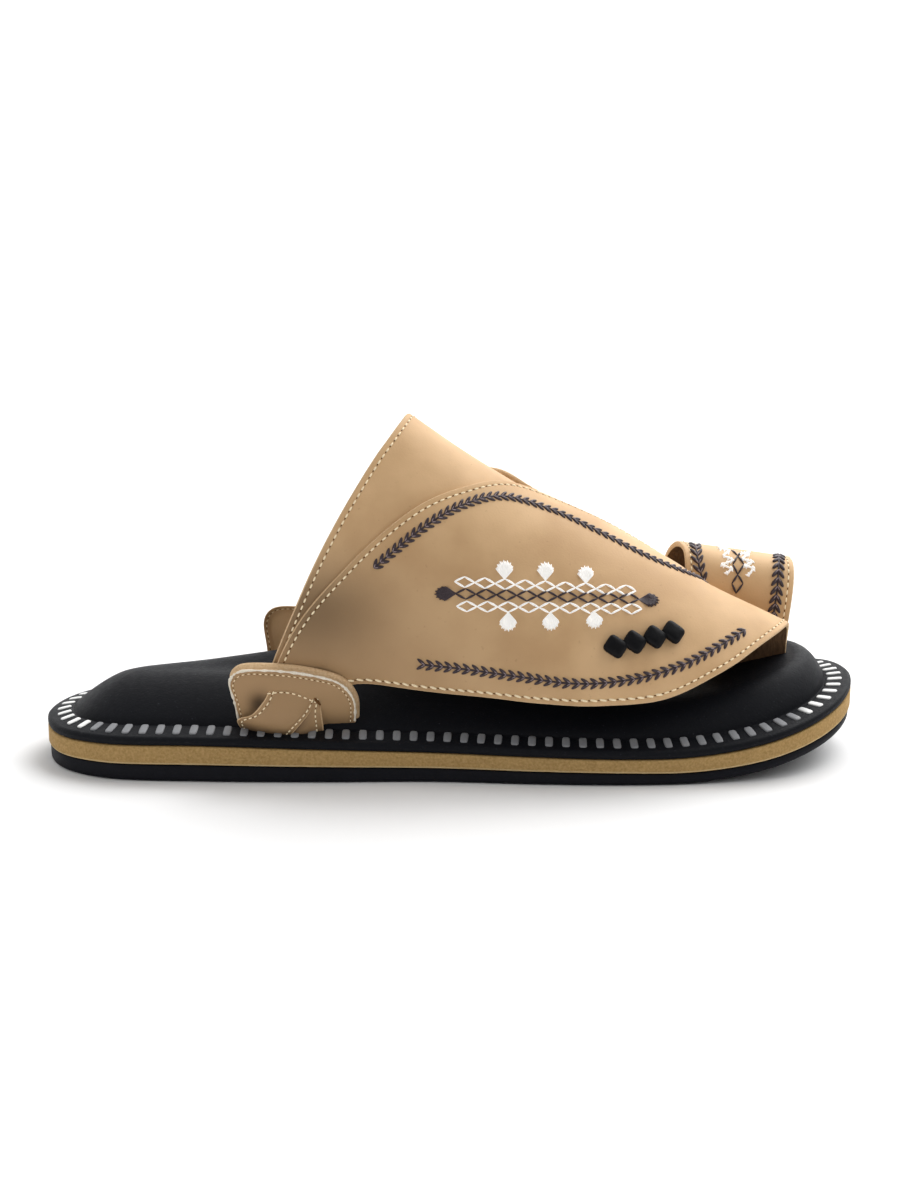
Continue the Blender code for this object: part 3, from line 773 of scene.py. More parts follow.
# %% Upper tables
LastRow = namedtuple("LastRow", "x lateral ridge medial thong top")
LAST_BASE = 12.0
LAST = [
    LastRow(70, -28.0, 3.0, 26.0, 26.0, 158.0),
    LastRow(90, -28.0, 4.0, 26.0, 26.0, 146.5),
    LastRow(110, -28.0, 5.0, 26.0, 26.0, 134.0),
    LastRow(130, -30.0, 5.5, 29.5, 29.5, 120.2),
    LastRow(150, -33.5, 6.5, 34.5, 34.5, 106.1),
    LastRow(175, -36.5, 7.0, 40.0, 40.0, 90.8),
    LastRow(200, -38.0, 6.5, 44.0, 42.5, 78.2),
    LastRow(225, -36.0, 4.5, 42.5, 23.0, 64.0),
    LastRow(240, -33.0, 2.5, 41.0, 11.0, 56.3),
    LastRow(255, -29.0, 1.0, 40.0, 8.5, 49.4),
    LastRow(272, -24.0, 0.0, 39.0, 8.5, 41.2),
]
PanelRow = namedtuple("PanelRow", "angle rear front")
PANEL = [
    PanelRow(0, 74.5, 105.0),
    PanelRow(12, 84.2, 111.0),
    PanelRow(22, 93.0, 121.0),
    PanelRow(45, 111.6, 152.0),
    PanelRow(63, 122.3, 175.0),
    PanelRow(77, 127.4, 194.0),
    PanelRow(90, 129.6, 203.0),
]
MEDIAL_PANEL_SHIFT = 9.5
LeafRow = namedtuple("LeafRow", "low_x low_angle high_x high_angle")
LEAF_BACK = [
    LeafRow(103.0, 0.0, 77.0, 0.0),
    LeafRow(106.5, 7.5, 84.5, 10.6),
    LeafRow(113.0, 10.2, 93.5, 19.0),
    LeafRow(138.0, 11.2, 111.0, 31.1),
    LeafRow(158.0, 12.1, 128.0, 44.8),
    LeafRow(177.0, 12.6, 148.0, 63.2),
    LeafRow(196.0, 13.9, 168.0, 82.5),
]
LATERAL_TIP = [
    LeafRow(217.0, 18.3, 193.0, 93.0),
    LeafRow(232.5, 28.4, 216.0, 100.0),
    LeafRow(246.5, 43.6, 229.0, 112.0),
    LeafRow(259.0, 67.5, 236.0, 130.0),
    LeafRow(265.2, 95.0, 240.0, 152.0),
    LeafRow(266.6, 135.0, 242.0, 168.0),
    LeafRow(266.6, 180.0, 243.0, 180.0),
]
MEDIAL_TIP = [
    LeafRow(212.0, 20.0, 190.0, 95.0),
    LeafRow(221.0, 40.0, 206.0, 100.0),
    LeafRow(225.0, 70.0, 217.0, 102.0),
]
print(len(LAST), "sections of the foot tunnel")

# %% [markdown]
# ## Soft folds
# Worn leather keeps shallow troughs and ridges where it has bent on the foot. Sculpting them would be
# free but hard to repeat, so each is a short line with a depth and a width. The straps' rear feet are
# also tucked in a little, behind the ears.

# %% Soft folds
Fold = namedtuple("Fold", "start_x start_z end_x end_z depth width")
FOLDS = [
    Fold(97, 30, 108, 52, -0.5, 3.0),
    Fold(104, 28, 122, 46, 0.35, 4.0),
    Fold(116, 88, 128, 66, -0.45, 4.5),
    Fold(126, 104, 140, 84, 0.4, 5.0),
    Fold(150, 50, 176, 58, -0.3, 5.0),
    Fold(205, 40, 224, 50, -0.35, 4.0),
    Fold(228, 44, 244, 42, -0.4, 3.5),
]
STRAP_TUCK = 4.0
TUCK_HEIGHTS = (22.0, 48.0)
TUCK_PLACES = (112.0, 135.0)


def fold_height(x, z):
    """Soft troughs and ridges where the leather has bent on the foot."""
    total = np.zeros(np.broadcast(x, z).shape)
    for fold in FOLDS:
        run = np.array([fold.end_x - fold.start_x, fold.end_z - fold.start_z], float)
        length = np.linalg.norm(run)
        run /= length
        along = (x - fold.start_x) * run[0] + (z - fold.start_z) * run[1]
        across = (z - fold.start_z) * run[0] - (x - fold.start_x) * run[1]
        fade = np.exp(-((np.maximum(np.abs(along - length / 2) - length / 4, 0) / (length / 3)) ** 2))
        total += fold.depth * np.exp(-((across / fold.width) ** 2)) * fade
    return total


def tunnel(x, angle, medial):
    """Points on the foot tunnel."""
    ridge = smooth(LAST, "x", "ridge", x)
    base = np.where(angle < 90, smooth(LAST, "x", "lateral", x), smooth(LAST, "x", medial, x))
    turn = np.radians(angle)
    y = ridge + (base - ridge) * np.abs(np.cos(turn))
    z = LAST_BASE + (smooth(LAST, "x", "top", x) - LAST_BASE) * np.sin(turn)
    return np.stack(np.broadcast_arrays(x, y, z), axis=-1)


def tunnel_layer(x, angle, out, medial):
    """Points a distance out from the foot tunnel, with the folds in them."""
    centre = tunnel(x, angle, medial)
    along = tunnel(x + 1, angle, medial) - tunnel(x - 1, angle, medial)
    around = tunnel(x, angle + 1, medial) - tunnel(x, angle - 1, medial)
    outward = np.cross(along, around)
    outward /= np.linalg.norm(outward, axis=-1)[..., None]
    tuck = (1 - soft_step(*TUCK_HEIGHTS, centre[..., 2])) * (1 - soft_step(*TUCK_PLACES, centre[..., 0]))
    folded = out + fold_height(centre[..., 0], centre[..., 2]) - STRAP_TUCK * tuck
    return centre + outward * np.asarray(folded)[..., None]


print("deepest fold:", min(fold.depth for fold in FOLDS), "mm")

# %% [markdown]
# ## Skins
# Stitches and threads need places on the leather and the way out from it. A skin keeps a strap's face
# as a grid, with its outward directions and its pixels in the photograph. Casting rays at the mesh
# would do the same, but the grid also knows how far each place is from the cut edges.


# %% Skins, to find places on a piece of leather
FAR_AWAY = 1e9
LONGEST_STEP = 1.5


class Skin:
    """A grid of face points with outward directions and their pixels in the photograph."""

    def __init__(self, face, back):
        self.points = face
        self.facing = np.cross(np.gradient(face, axis=0), np.gradient(face, axis=1))
        self.facing /= np.maximum(np.linalg.norm(self.facing, axis=-1), 1e-12)[..., None]
        self.facing *= np.sign(np.sum(self.facing * (face - back)))
        steps = np.linalg.norm(np.diff(face, axis=1), axis=-1)
        self.reach = np.hstack((np.zeros((len(face), 1)), np.cumsum(steps, axis=1)))
        self.pixels = to_photo(face)
        self.hidden = np.sum(self.facing * (EYE - face), axis=-1) < 0

    def at(self, row, place):
        """Points and directions at fractional grid places."""
        row = np.clip(row, 0, self.points.shape[0] - 1.001)
        place = np.clip(place, 0, self.points.shape[1] - 1.001)
        i = np.floor(row).astype(int)
        j = np.floor(place).astype(int)
        u = (row - i)[..., None]
        v = (place - j)[..., None]
        found = []
        for grid in (self.points, self.facing):
            low = mix(grid[i, j], grid[i, j + 1], v)
            found.append(mix(low, mix(grid[i + 1, j], grid[i + 1, j + 1], v), u))
        return found

    def under(self, pixels):
        """Points and directions that show at pixels of the photograph."""
        places = []
        for pixel in np.atleast_2d(pixels):
            far = np.sum((self.pixels - pixel) ** 2, axis=-1) + FAR_AWAY * self.hidden
            i, j = np.unravel_index(np.argmin(far), far.shape)
            i = min(max(i, 1), far.shape[0] - 2)
            j = min(max(j, 1), far.shape[1] - 2)
            down = (self.pixels[i + 1, j] - self.pixels[i - 1, j]) / 2
            over = (self.pixels[i, j + 1] - self.pixels[i, j - 1]) / 2
            step = np.linalg.solve(np.stack((down, over), axis=1), pixel - self.pixels[i, j])
            places.append((i, j) + np.clip(step, -LONGEST_STEP, LONGEST_STEP))
        return self.at(*np.array(places).T)

    def seam(self, inset, from_end=False):
        """A path along the rows, a distance in from the first or the last column."""
        columns = np.arange(self.points.shape[1])
        places = []
        for reach in self.reach:
            distance = reach[-1] - inset if from_end else inset
            places.append(np.interp(distance, reach, columns))
        return self.at(np.arange(len(self.reach), dtype=float), np.array(places))

    def edge(self, both=True):
        """Distance of every point from the first column, or from the nearer of both."""
        return np.minimum(self.reach, self.reach[:, -1:] - self.reach) if both else self.reach


print("a skin finds the leather under a pixel")

# %% [markdown]
# ## Instep panel and leaf straps
# The panel wraps the instep and opens to the heel. Two leaf straps start at the ears and cross over
# the ridge. The lateral one lies on top, turns over at its tip and goes down between the toes. Each is
# a sheet on the tunnel between two edges from the tables. Flat sheets could be wrapped onto a foot, but
# they would slide, and their edges are what the photograph shows best.

# %% Instep panel
LEATHER = 2.0
PANEL_ENDS = (2.2, 177.8)
PANEL_ROWS = 150
PANEL_ACROSS = 44

upper = Shape()
panel_angle = np.linspace(*PANEL_ENDS, PANEL_ROWS)[:, None]
panel_height = np.minimum(panel_angle, 180 - panel_angle)
medial_shift = np.where(panel_angle > 90, MEDIAL_PANEL_SHIFT, 0) * np.sin(np.radians(2 * panel_height))
panel_rear = smooth(PANEL, "angle", "rear", panel_height) + medial_shift
panel_front = smooth(PANEL, "angle", "front", panel_height)
panel_x = mix(panel_rear, panel_front, edge_shares(PANEL_ACROSS)[None, :])
panel_face = tunnel_layer(panel_x, panel_angle, LEATHER, "medial")
panel_back = tunnel_layer(panel_x, panel_angle, 0.0, "medial")
panel_skin = Skin(panel_face, panel_back)
upper.sheet(panel_face, panel_back, panel_skin.edge(both=False))
print("instep panel, highest at", round(float(panel_face[..., 2].max()), 1), "mm")

# %% Leaf straps
LAYER_STEP = 1.2
LEAF_ACROSS = 44
LEAF_STEPS = 13
LEAF_FOOT = 0.3
THONG_END = 12.25
MEDIAL_END = 9.0
CROSSING_END = (222.0, 238.0)
CROSSING_ANGLES = (55, 88)
CURL_ROW = 5.6
CURL_ROWS = 0.45
CURL_EDGE = (0.8, 1.0)
CURL_LIFT = 1.8


def leaf_grid(rows, last_row):
    """Row numbers, shares across, places and angles over a leaf strap."""
    count = round((last_row - LEAF_FOOT) * LEAF_STEPS)
    row = np.linspace(LEAF_FOOT, last_row, count)[:, None]
    share = edge_shares(LEAF_ACROSS)[None, :]
    x = mix(row_value(rows, "low_x", row), row_value(rows, "high_x", row), share)
    angle = mix(row_value(rows, "low_angle", row), row_value(rows, "high_angle", row), share)
    return row, share, x, angle


row, share, x, angle = leaf_grid(LEAF_BACK + MEDIAL_TIP, MEDIAL_END)
curl = CURL_LIFT * np.exp(-(((row - CURL_ROW) / CURL_ROWS) ** 2)) * soft_step(*CURL_EDGE, share)
medial_face = tunnel_layer(x, 180 - angle, LAYER_STEP + LEATHER + curl, "medial")
medial_back = tunnel_layer(x, 180 - angle, LAYER_STEP + curl, "medial")
medial_skin = Skin(medial_face, medial_back)
upper.sheet(medial_face, medial_back, medial_skin.edge())

row, share, x, angle = leaf_grid(LEAF_BACK + LATERAL_TIP, THONG_END)
crossing = LAYER_STEP * soft_step(*CROSSING_ANGLES, angle) * (1 - soft_step(*CROSSING_END, x))
lateral_face = tunnel_layer(x, angle, LAYER_STEP + LEATHER + crossing, "thong")
lateral_back = tunnel_layer(x, angle, LAYER_STEP + crossing, "thong")
lateral_skin = Skin(lateral_face, lateral_back)
upper.sheet(lateral_face, lateral_back, lateral_skin.edge())
hand_in(upper.make("upper_look", [tan, flesh, cut]), "upper_leather", "upper")

# %% [markdown]
# ## Toe ring
# A band arches over the big toe and its legs go into the footbed. A bent strip with a Solidify modifier
# would be round at the top; a squarish arch worked out by formula is nearer to the stiff leather.

# %% Build the toe ring
RingRow = namedtuple("RingRow", "x centre half_width spring top lean")
RING = [
    RingRow(231.4, 30.5, 15.8, 47.0, 70.0, 0.0),
    RingRow(250.0, 29.5, 15.0, 46.5, 67.6, 2.0),
    RingRow(271.0, 28.5, 13.8, 46.0, 64.7, 6.0),
]
RING_WALL = 2.0
RING_FOOT = 14.5
RING_TUCK = 2.0
RING_SQUARENESS = 2.6
RING_LEG = 0.18
RING_ENDS = (0.06, 0.994)
RING_SKEW = 6.0
RING_SKEW_PLACES = (0.42, 0.8)
RING_AROUND = 150
RING_ALONG = 30


def ring_grid(inward):
    """Points of the ring, rows round the toe and columns from rear to front."""
    around = np.linspace(*RING_ENDS, RING_AROUND)[:, None]
    along = (len(RING) - 1) * edge_shares(RING_ALONG)[None, :]
    x, centre, half_width, spring, top, lean = (row_value(RING, name, along) for name in RingRow._fields)
    half_width = half_width - inward
    top = top - inward
    near = np.minimum(around, 1 - around)
    side = np.where(around < 0.5, -1, 1)
    drop = np.clip(1 - near / RING_LEG, 0, 1)
    turn = np.pi / 2 * np.clip((near - RING_LEG) / (0.5 - RING_LEG), 0, 1)
    arch_out = np.cos(turn) ** (2 / RING_SQUARENESS) * half_width
    arch_up = np.sin(turn) ** (2 / RING_SQUARENESS) * (top - spring)
    y = centre + side * np.where(drop > 0, half_width - RING_TUCK * drop**2, arch_out)
    z = np.where(drop > 0, mix(spring, RING_FOOT, drop), spring + arch_up)
    skew = RING_SKEW * soft_step(*RING_SKEW_PLACES, around) * (1 - along / (len(RING) - 1))
    return np.stack((x - skew - lean * (top - z) / (top - RING_FOOT), y, z), axis=-1)


ring = Shape()
ring_face = ring_grid(0.0)
ring_back = ring_grid(RING_WALL)
ring_skin = Skin(ring_face, ring_back)
ring.sheet(ring_face, ring_back, ring_skin.edge())
hand_in(ring.make("toe_ring_look", [tan, flesh, cut]), "upper_leather", "toe_ring")

# %% [markdown]
# ## Ears
# Each ear is two plies of leather standing on the flange, the front one cut a little smaller and
# swelling like a pillow, the back one rolling away at its rim. A filled curve would have to be cut up
# before it could bend. Rays from a point near the ear's foot to its rim make a grid that bends at once.

# %% Ear rim and sizes
RimPoint = namedtuple("RimPoint", "x z")
EAR_RIM = [
    RimPoint(72.5, -3.0),
    RimPoint(70.6, 11.0),
    RimPoint(69.4, 20.0),
    RimPoint(72.3, 23.4),
    RimPoint(83.0, 24.1),
    RimPoint(98.0, 22.3),
    RimPoint(108.4, 18.6),
    RimPoint(112.9, 11.4),
    RimPoint(112.2, -3.0),
]
EAR_PLY = 1.1
EAR_LEAN = 2.0
EAR_BOW_LEFT = 4.6
EAR_BOW_RIGHT = 4.9
EAR_MIDDLE = 91.5
EAR_HALF = 22.0
EAR_FLOOR = 16.8
EAR_SEAT = 2.0
EAR_BOW_FADE = (0.0, 22.0)
EAR_TURN_IN = 1.2
EAR_TURN_FADE = (-1.0, 8.0)
EAR_FRONT_WIDTH = 0.975
EAR_FRONT_HEIGHT = 0.94
EAR_HEART = (91.0, 2.0)
EAR_PILLOW = 1.0
EAR_ROLL = 2.1
EAR_ROLL_WIDTH = 3.4
EAR_ROLL_FADE = (0.0, 8.0)
EAR_DIP = 1.7
EAR_DIP_PLACE = (79.4, 9.8)
EAR_DIP_SIZE = (3.6, 4.6)
# Painted shade: the ear's pit and its foot are marked darker.
EAR_DIP_SHADE = 0.8
EAR_FOOT_SHADE = 0.6
EAR_FOOT_FADE = (-1.0, 6.0)
EAR_MOST_SHADE = 0.85
EAR_ACROSS = 26
MEDIAL_EAR_HEIGHT = 1.21
MEDIAL_EAR_SHIFT = 6.5
SIDES = {"lateral": -1, "medial": 1}

ear_rim = round_curve(EAR_RIM, 10)
ear_left = ear_rim[:, 0].min()
ear_front_x = mix(ear_left, ear_rim[:, 0], EAR_FRONT_WIDTH)
ear_front_rim = np.stack((ear_front_x, ear_rim[:, 1] * EAR_FRONT_HEIGHT), axis=1)
print("an ear is", round(float(np.ptp(ear_rim[:, 0])), 1), "mm long")


# %% Build the ears
def ear_place(side, x, height, depth):
    """Points of an ear: height above its floor, depth outwards from its back face."""
    base = LAST[1].lateral if side < 0 else LAST[1].medial
    back = base + side * EAR_SEAT
    left_bow = EAR_BOW_LEFT * (np.minimum(x - EAR_MIDDLE, 0.0) / EAR_HALF) ** 2
    right_bow = EAR_BOW_RIGHT * soft_step(EAR_MIDDLE, EAR_MIDDLE + EAR_HALF / 2, x)
    bow = (left_bow + right_bow) * (1 - soft_step(*EAR_BOW_FADE, height))
    bow = bow + EAR_TURN_IN * (1 - soft_step(*EAR_TURN_FADE, height))
    stretch = 1.0 if side < 0 else MEDIAL_EAR_HEIGHT
    shift = 0.0 if side < 0 else MEDIAL_EAR_SHIFT
    lean = EAR_LEAN * np.maximum(height, 0.0) / max(column(EAR_RIM, "z"))
    y = back + side * (depth + lean - bow)
    return np.stack(np.broadcast_arrays(x + shift, y, EAR_FLOOR + stretch * height), axis=-1)


EarPly = namedtuple("EarPly", "name rim depth pillow roll finish")
# The back ply's face takes the pale cut-edge finish: a painted highlight where its rolled rim faces the
# light.
EAR_PLIES = [
    EarPly("back", ear_rim, 0.0, 0.0, EAR_ROLL, 2),
    EarPly("front", ear_front_rim, EAR_PLY, EAR_PILLOW, 0.0, 0),
]


def ear_ply(side, ply):
    """Face, back and painted shade of one ply, as rays from the ear's heart to its rim, which may roll
    back.
    """
    share = edge_shares(2 * EAR_ACROSS)[None, EAR_ACROSS:] * 2 - 1
    x = mix(EAR_HEART[0], ply.rim[:, :1], share)
    z = mix(EAR_HEART[1], ply.rim[:, 1:], share)
    to_rim = np.linalg.norm(ply.rim - EAR_HEART, axis=1)[:, None] * (1 - share)
    roll = ply.roll * np.clip(1 - to_rim / EAR_ROLL_WIDTH, 0, 1) ** 2 * soft_step(*EAR_ROLL_FADE, z)
    depth = ply.depth - roll
    off_x = (x - EAR_DIP_PLACE[0]) / EAR_DIP_SIZE[0]
    off_z = (z - EAR_DIP_PLACE[1]) / EAR_DIP_SIZE[1]
    dip = np.exp(-(off_x**2) - off_z**2)
    swell = ply.pillow * (1 - share**2) - EAR_DIP * dip
    # Painted shade in the pit and along the foot of the front ply.
    grime = EAR_DIP_SHADE * dip + EAR_FOOT_SHADE * (1 - soft_step(*EAR_FOOT_FADE, z))
    if not ply.pillow:
        swell = 0.0
        grime = 0.0
    face = ear_place(side, x, z, depth + EAR_PLY + swell)
    return face, ear_place(side, x, z, depth), np.clip(grime, 0, EAR_MOST_SHADE)


ear_skins = {}
for word, side in SIDES.items():
    ear = Shape()
    for ply in EAR_PLIES:
        face, back, grime = ear_ply(side, ply)
        skin = Skin(face, back)
        ear.sheet(face, back, skin.reach[:, -1:] - skin.reach, grime, ply.finish)
        ear_skins[word, ply.name] = skin if ply.name == "front" else Skin(back, face)
    hand_in(ear.make("ear_look_" + word, [tan, tan, cut]), "upper_leather", "ear_" + word)

# %% [markdown]
# ## Knot bands
# A short band comes out of a slit in the front ply, turns and tucks under, with its tail beside it. Its
# two edges are known at a few rows: where it leaves the slit, where it lies highest and where it tucks
# under. A flat strip could be twisted with a modifier. A sheet between the two edges twists by itself,
# because each edge has its own lift above the ear.

# %% Build the knot bands
BandRow = namedtuple("BandRow", "left_x left_z right_x right_z left_lift right_lift")
KNOT = [
    BandRow(83.3, 15.4, 98.9, 11.4, -1.5, -1.4),
    BandRow(81.2, 11.6, 97.4, 8.6, 0.4, -0.5),
    BandRow(77.2, 7.0, 94.4, 5.0, 1.5, 0.5),
    BandRow(71.8, 4.2, 91.2, 1.2, 1.5, 0.7),
    BandRow(73.6, -2.0, 88.5, -2.5, -1.6, -1.3),
]
KNOT_TAIL = [
    BandRow(98.0, 10.4, 100.0, 10.2, -1.7, -1.3),
    BandRow(93.0, 5.4, 100.4, 5.2, -0.8, 0.8),
    BandRow(87.0, -2.5, 100.8, -2.5, -1.6, 1.0),
]
Band = namedtuple("Band", "name rows crown left_grime")
BANDS = [Band("knot", KNOT, 0.5, 0.0), Band("tail", KNOT_TAIL, 0.2, 1.0)]
KNOT_PLY = 1.0
SLIT_ARC = 2.1
SLIT_ARC_ROWS = (0.0, 1.2)
CROWN_ROWS = (0.0, 1.5)
# Painted shade on the bands: a little everywhere, most at their tucked feet and beside the knot's edge.
BAND_SHADE = 0.8
BAND_LEAST_SHADE = 0.1
BAND_FOOT = (0.7, 0.96)
BAND_ROWS = 40
BAND_ACROSS = 26
EAR_FACE = 2 * EAR_PLY + EAR_PILLOW

band_down = edge_shares(BAND_ROWS)[:, None]
band_across = edge_shares(BAND_ACROSS)[None, :]


def band_grid(side, band, depth):
    """Points of a band, rows down its length and columns from left to right."""
    row = (len(band.rows) - 1) * band_down
    at = BandRow(*(row_value(band.rows, name, row) for name in BandRow._fields))
    bow = np.sin(np.pi * band_across)
    arc = SLIT_ARC * bow * (1 - soft_step(*SLIT_ARC_ROWS, row))
    lift = mix(at.left_lift, at.right_lift, band_across) + band.crown * bow * soft_step(*CROWN_ROWS, row)
    x = mix(at.left_x, at.right_x, band_across)
    z = mix(at.left_z, at.right_z, band_across) + arc
    return ear_place(side, x, z, EAR_FACE + depth + lift)


band_skins = {}
for word, side in SIDES.items():
    for row in BANDS:
        face = band_grid(side, row, KNOT_PLY)
        back = band_grid(side, row, 0.0)
        skin = Skin(face, back)
        # Painted shade, most where the band tucks under and where the tail lies under the knot.
        foot_shade = mix(BAND_LEAST_SHADE, 1.0, soft_step(*BAND_FOOT, band_down))
        grime = BAND_SHADE * np.maximum(foot_shade, row.left_grime * (1 - band_across) ** 2)
        band = Shape()
        band.sheet(face, back, skin.edge(), grime)
        piece = band.make("ear_" + row.name + "_look_" + word, [tan, flesh, cut])
        hand_in(piece, "upper_leather", "ear_" + row.name + "_" + word)
        band_skins[word, row.name] = skin

# %% [markdown]
# ## Cushions: beads, bars and stitches
# A bead, a border bar and a stitch are all rounded blocks. One formula makes them, with a squareness
# that runs from a ball to a box. The beads are few, so each is placed straight into its own mesh.


# %% Cushion formula and beads
def cushion(length, width, height, squareness, around=16, over=9, flatness=None):
    """Grid of a rounded block about the origin, rows over it and columns round it."""
    turn = np.linspace(0, 2 * np.pi, around, endpoint=False)[None, :]
    tilt = np.linspace(-np.pi / 2, np.pi / 2, over)[:, None]

    def rounded(value, power):
        return np.sign(value) * np.abs(value) ** (2 / power)

    level = rounded(np.cos(tilt), flatness or squareness)
    x = length / 2 * level * rounded(np.cos(turn), squareness)
    y = width / 2 * level * rounded(np.sin(turn), squareness)
    z = height / 2 * rounded(np.sin(tilt), flatness or squareness) * np.ones_like(turn)
    return np.stack((x, y, z), axis=-1)


BEAD_PIXELS = [(614.6, 647.2), (633.3, 642.8), (653.1, 637.9), (671.3, 633.7)]
BEAD_SIZE = (7.3, 6.5, 3.8)
BEAD_SQUARENESS = 4.6
BEAD_FLATNESS = 2.6
BEAD_TURN = math.radians(-33)
BEAD_FACES = (40, 21)
BEAD_SEAT = 0.42


def flat_turn(angle):
    """Axes turned about z by an angle."""
    cosine = math.cos(angle)
    sine = math.sin(angle)
    return np.array([[cosine, sine, 0], [-sine, cosine, 0], [0, 0, 1]])


bead_shape = cushion(*BEAD_SIZE, BEAD_SQUARENESS, *BEAD_FACES, BEAD_FLATNESS)
bead_seats, bead_facing = lateral_skin.under(BEAD_PIXELS)
for number, (seat, facing) in enumerate(zip(bead_seats, bead_facing), 1):
    along = RIGHT - facing * (RIGHT @ facing)
    along /= np.linalg.norm(along)
    up = np.cross(facing, along)
    turned = flat_turn(BEAD_TURN) @ np.stack((along, up, facing))
    bead = Shape()
    bead.grid(bead_shape @ turned + seat + facing * BEAD_SIZE[2] * BEAD_SEAT, loop=True)
    hand_in(bead.make("bead_look_" + str(number), [bead_black]), "bead_black", "bead_" + str(number))

# %% [markdown]
# ## Geometry trees for stitches and threads
# Hundreds of stitches follow the edges. A Geometry Nodes tree sets copies of one stitch along a path,
# turned to face out from the leather. A second tree thickens short arcs into single threads. Loops in
# Python could place copies too, but a tree keeps its sizes as named inputs that can be tried by hand.
# Both are run once, and their result is kept as a plain mesh.

# %% Paths
Path = namedtuple("Path", "points facing thick")


def path(points, facing, thick=1.0):
    """A path with a direction and a thickness at every point."""
    return Path(np.asarray(points), np.asarray(facing), np.broadcast_to(thick, len(points)))


def path_mesh(name, paths):
    """Edges of several paths in one mesh, with their directions and thicknesses."""
    edges = []
    start = 0
    for one in paths:
        edges += [(start + k, start + k + 1) for k in range(len(one.points) - 1)]
        start += len(one.points)
    mesh = bpy.data.meshes.new(name)
    mesh.from_pydata(placed(np.concatenate([one.points for one in paths])).tolist(), edges, [])
    for mark, kind, field in (("facing", "FLOAT_VECTOR", "vector"), ("thick", "FLOAT", "value")):
        layer = mesh.attributes.new(mark, kind, "POINT")
        values = np.concatenate([getattr(one, mark) for one in paths])
        layer.data.foreach_set(field, values.astype(np.float32).ravel())
    return mesh


print("a path carries", ", ".join(Path._fields))


# %% Two trees
def new_tree(name, inputs):
    """A geometry tree that takes a path and named inputs; gives its bench and its input wires."""
    tree = bpy.data.node_groups.new(name, "GeometryNodeTree")
    tree.interface.new_socket("Path", in_out="INPUT", socket_type="NodeSocketGeometry")
    for label, kind in inputs.items():
        tree.interface.new_socket(label, in_out="INPUT", socket_type="NodeSocket" + kind)
    tree.interface.new_socket("Made", in_out="OUTPUT", socket_type="NodeSocketGeometry")
    bench = Bench(tree)
    entry = tree.nodes.new("NodeGroupInput")
    wires = {label: Wire(bench, entry.outputs[label]) for label in ("Path", *inputs)}
    return bench, wires


def end_tree(bench, made, finish):
    """Realizes what a tree made and gives it its material."""
    made = bench.add("GeometryNodeRealizeInstances", None, {"Geometry": made})
    made = bench.add("GeometryNodeSetShadeSmooth", None, {"Geometry": made})
    made = bench.add("GeometryNodeSetMaterial", None, {"Geometry": made, "Material": finish})
    exit_node = bench.tree.nodes.new("NodeGroupOutput")
    bench.put(exit_node.inputs["Made"], made)


def row_tree():
    """Copies of one stitch along a path."""
    inputs = {"Stitch": "Object", "Pitch": "Float", "Turn": "Float", "Finish": "Material"}
    bench, wires = new_tree("row_of_stitches", inputs)
    curve = bench.add("GeometryNodeMeshToCurve", None, {"Mesh": wires["Path"]})
    spacing = {"Curve": curve, "Length": wires["Pitch"]}
    curve = bench.add("GeometryNodeResampleCurve", {"mode": "LENGTH"}, spacing)
    named = {"data_type": "FLOAT_VECTOR"}
    facing = bench.add("GeometryNodeInputNamedAttribute", named, {"Name": "facing"})
    axes = {"primary_axis": "Z", "secondary_axis": "X"}
    aim = {"Primary Axis": facing, "Secondary Axis": bench.add("GeometryNodeInputTangent")}
    rotation = bench.add("FunctionNodeAxesToRotation", axes, aim)
    upright = {"Axis": (0.0, 0.0, 1.0), "Angle": wires["Turn"]}
    spin = bench.add("FunctionNodeAxisAngleToRotation", None, upright)
    both = {"Rotation": rotation, "Rotate By": spin}
    rotation = bench.add("FunctionNodeRotateRotation", {"rotation_space": "LOCAL"}, both)
    stitch = bench.add("GeometryNodeObjectInfo", None, {"Object": wires["Stitch"]}, take="Geometry")
    thick = bench.add("GeometryNodeInputNamedAttribute", {"data_type": "FLOAT"}, {"Name": "thick"})
    placing = {"Points": curve, "Instance": stitch, "Rotation": rotation, "Scale": thick}
    end_tree(bench, bench.add("GeometryNodeInstanceOnPoints", None, placing), wires["Finish"])
    return bench.tree


def thread_tree():
    """A round thread along every path."""
    bench, wires = new_tree("threads", {"Radius": "Float", "Sides": "Int", "Finish": "Material"})
    curve = bench.add("GeometryNodeMeshToCurve", None, {"Mesh": wires["Path"]})
    circle = {"Resolution": wires["Sides"], "Radius": wires["Radius"]}
    profile = bench.add("GeometryNodeCurvePrimitiveCircle", None, circle)
    thick = bench.add("GeometryNodeInputNamedAttribute", {"data_type": "FLOAT"}, {"Name": "thick"})
    tube = {"Curve": curve, "Profile Curve": profile, "Scale": thick, "Fill Caps": True}
    end_tree(bench, bench.add("GeometryNodeCurveToMesh", None, tube), wires["Finish"])
    return bench.tree


ROWS = row_tree()
THREADS = thread_tree()
print("trees:", ROWS.name, "and", THREADS.name)

# %% Patterns, rows and threads
patterns = []


def grow(name, paths, tree, values):
    """Runs a tree on paths and keeps what it makes as a plain piece on the sandal."""
    piece = link(bpy.data.objects.new(name, path_mesh(name + "_path", paths)))
    step = piece.modifiers.new("grow", "NODES")
    step.node_group = tree
    for entry in tree.interface.items_tree:
        if entry.name in values:
            step[entry.identifier] = values[entry.name]
    made = bpy.data.meshes.new_from_object(piece.evaluated_get(bpy.context.evaluated_depsgraph_get()))
    piece.modifiers.remove(step)
    piece.data = made
    made.name = name
    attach(piece, "root")
    print(name, "has", len(made.polygons), "faces")


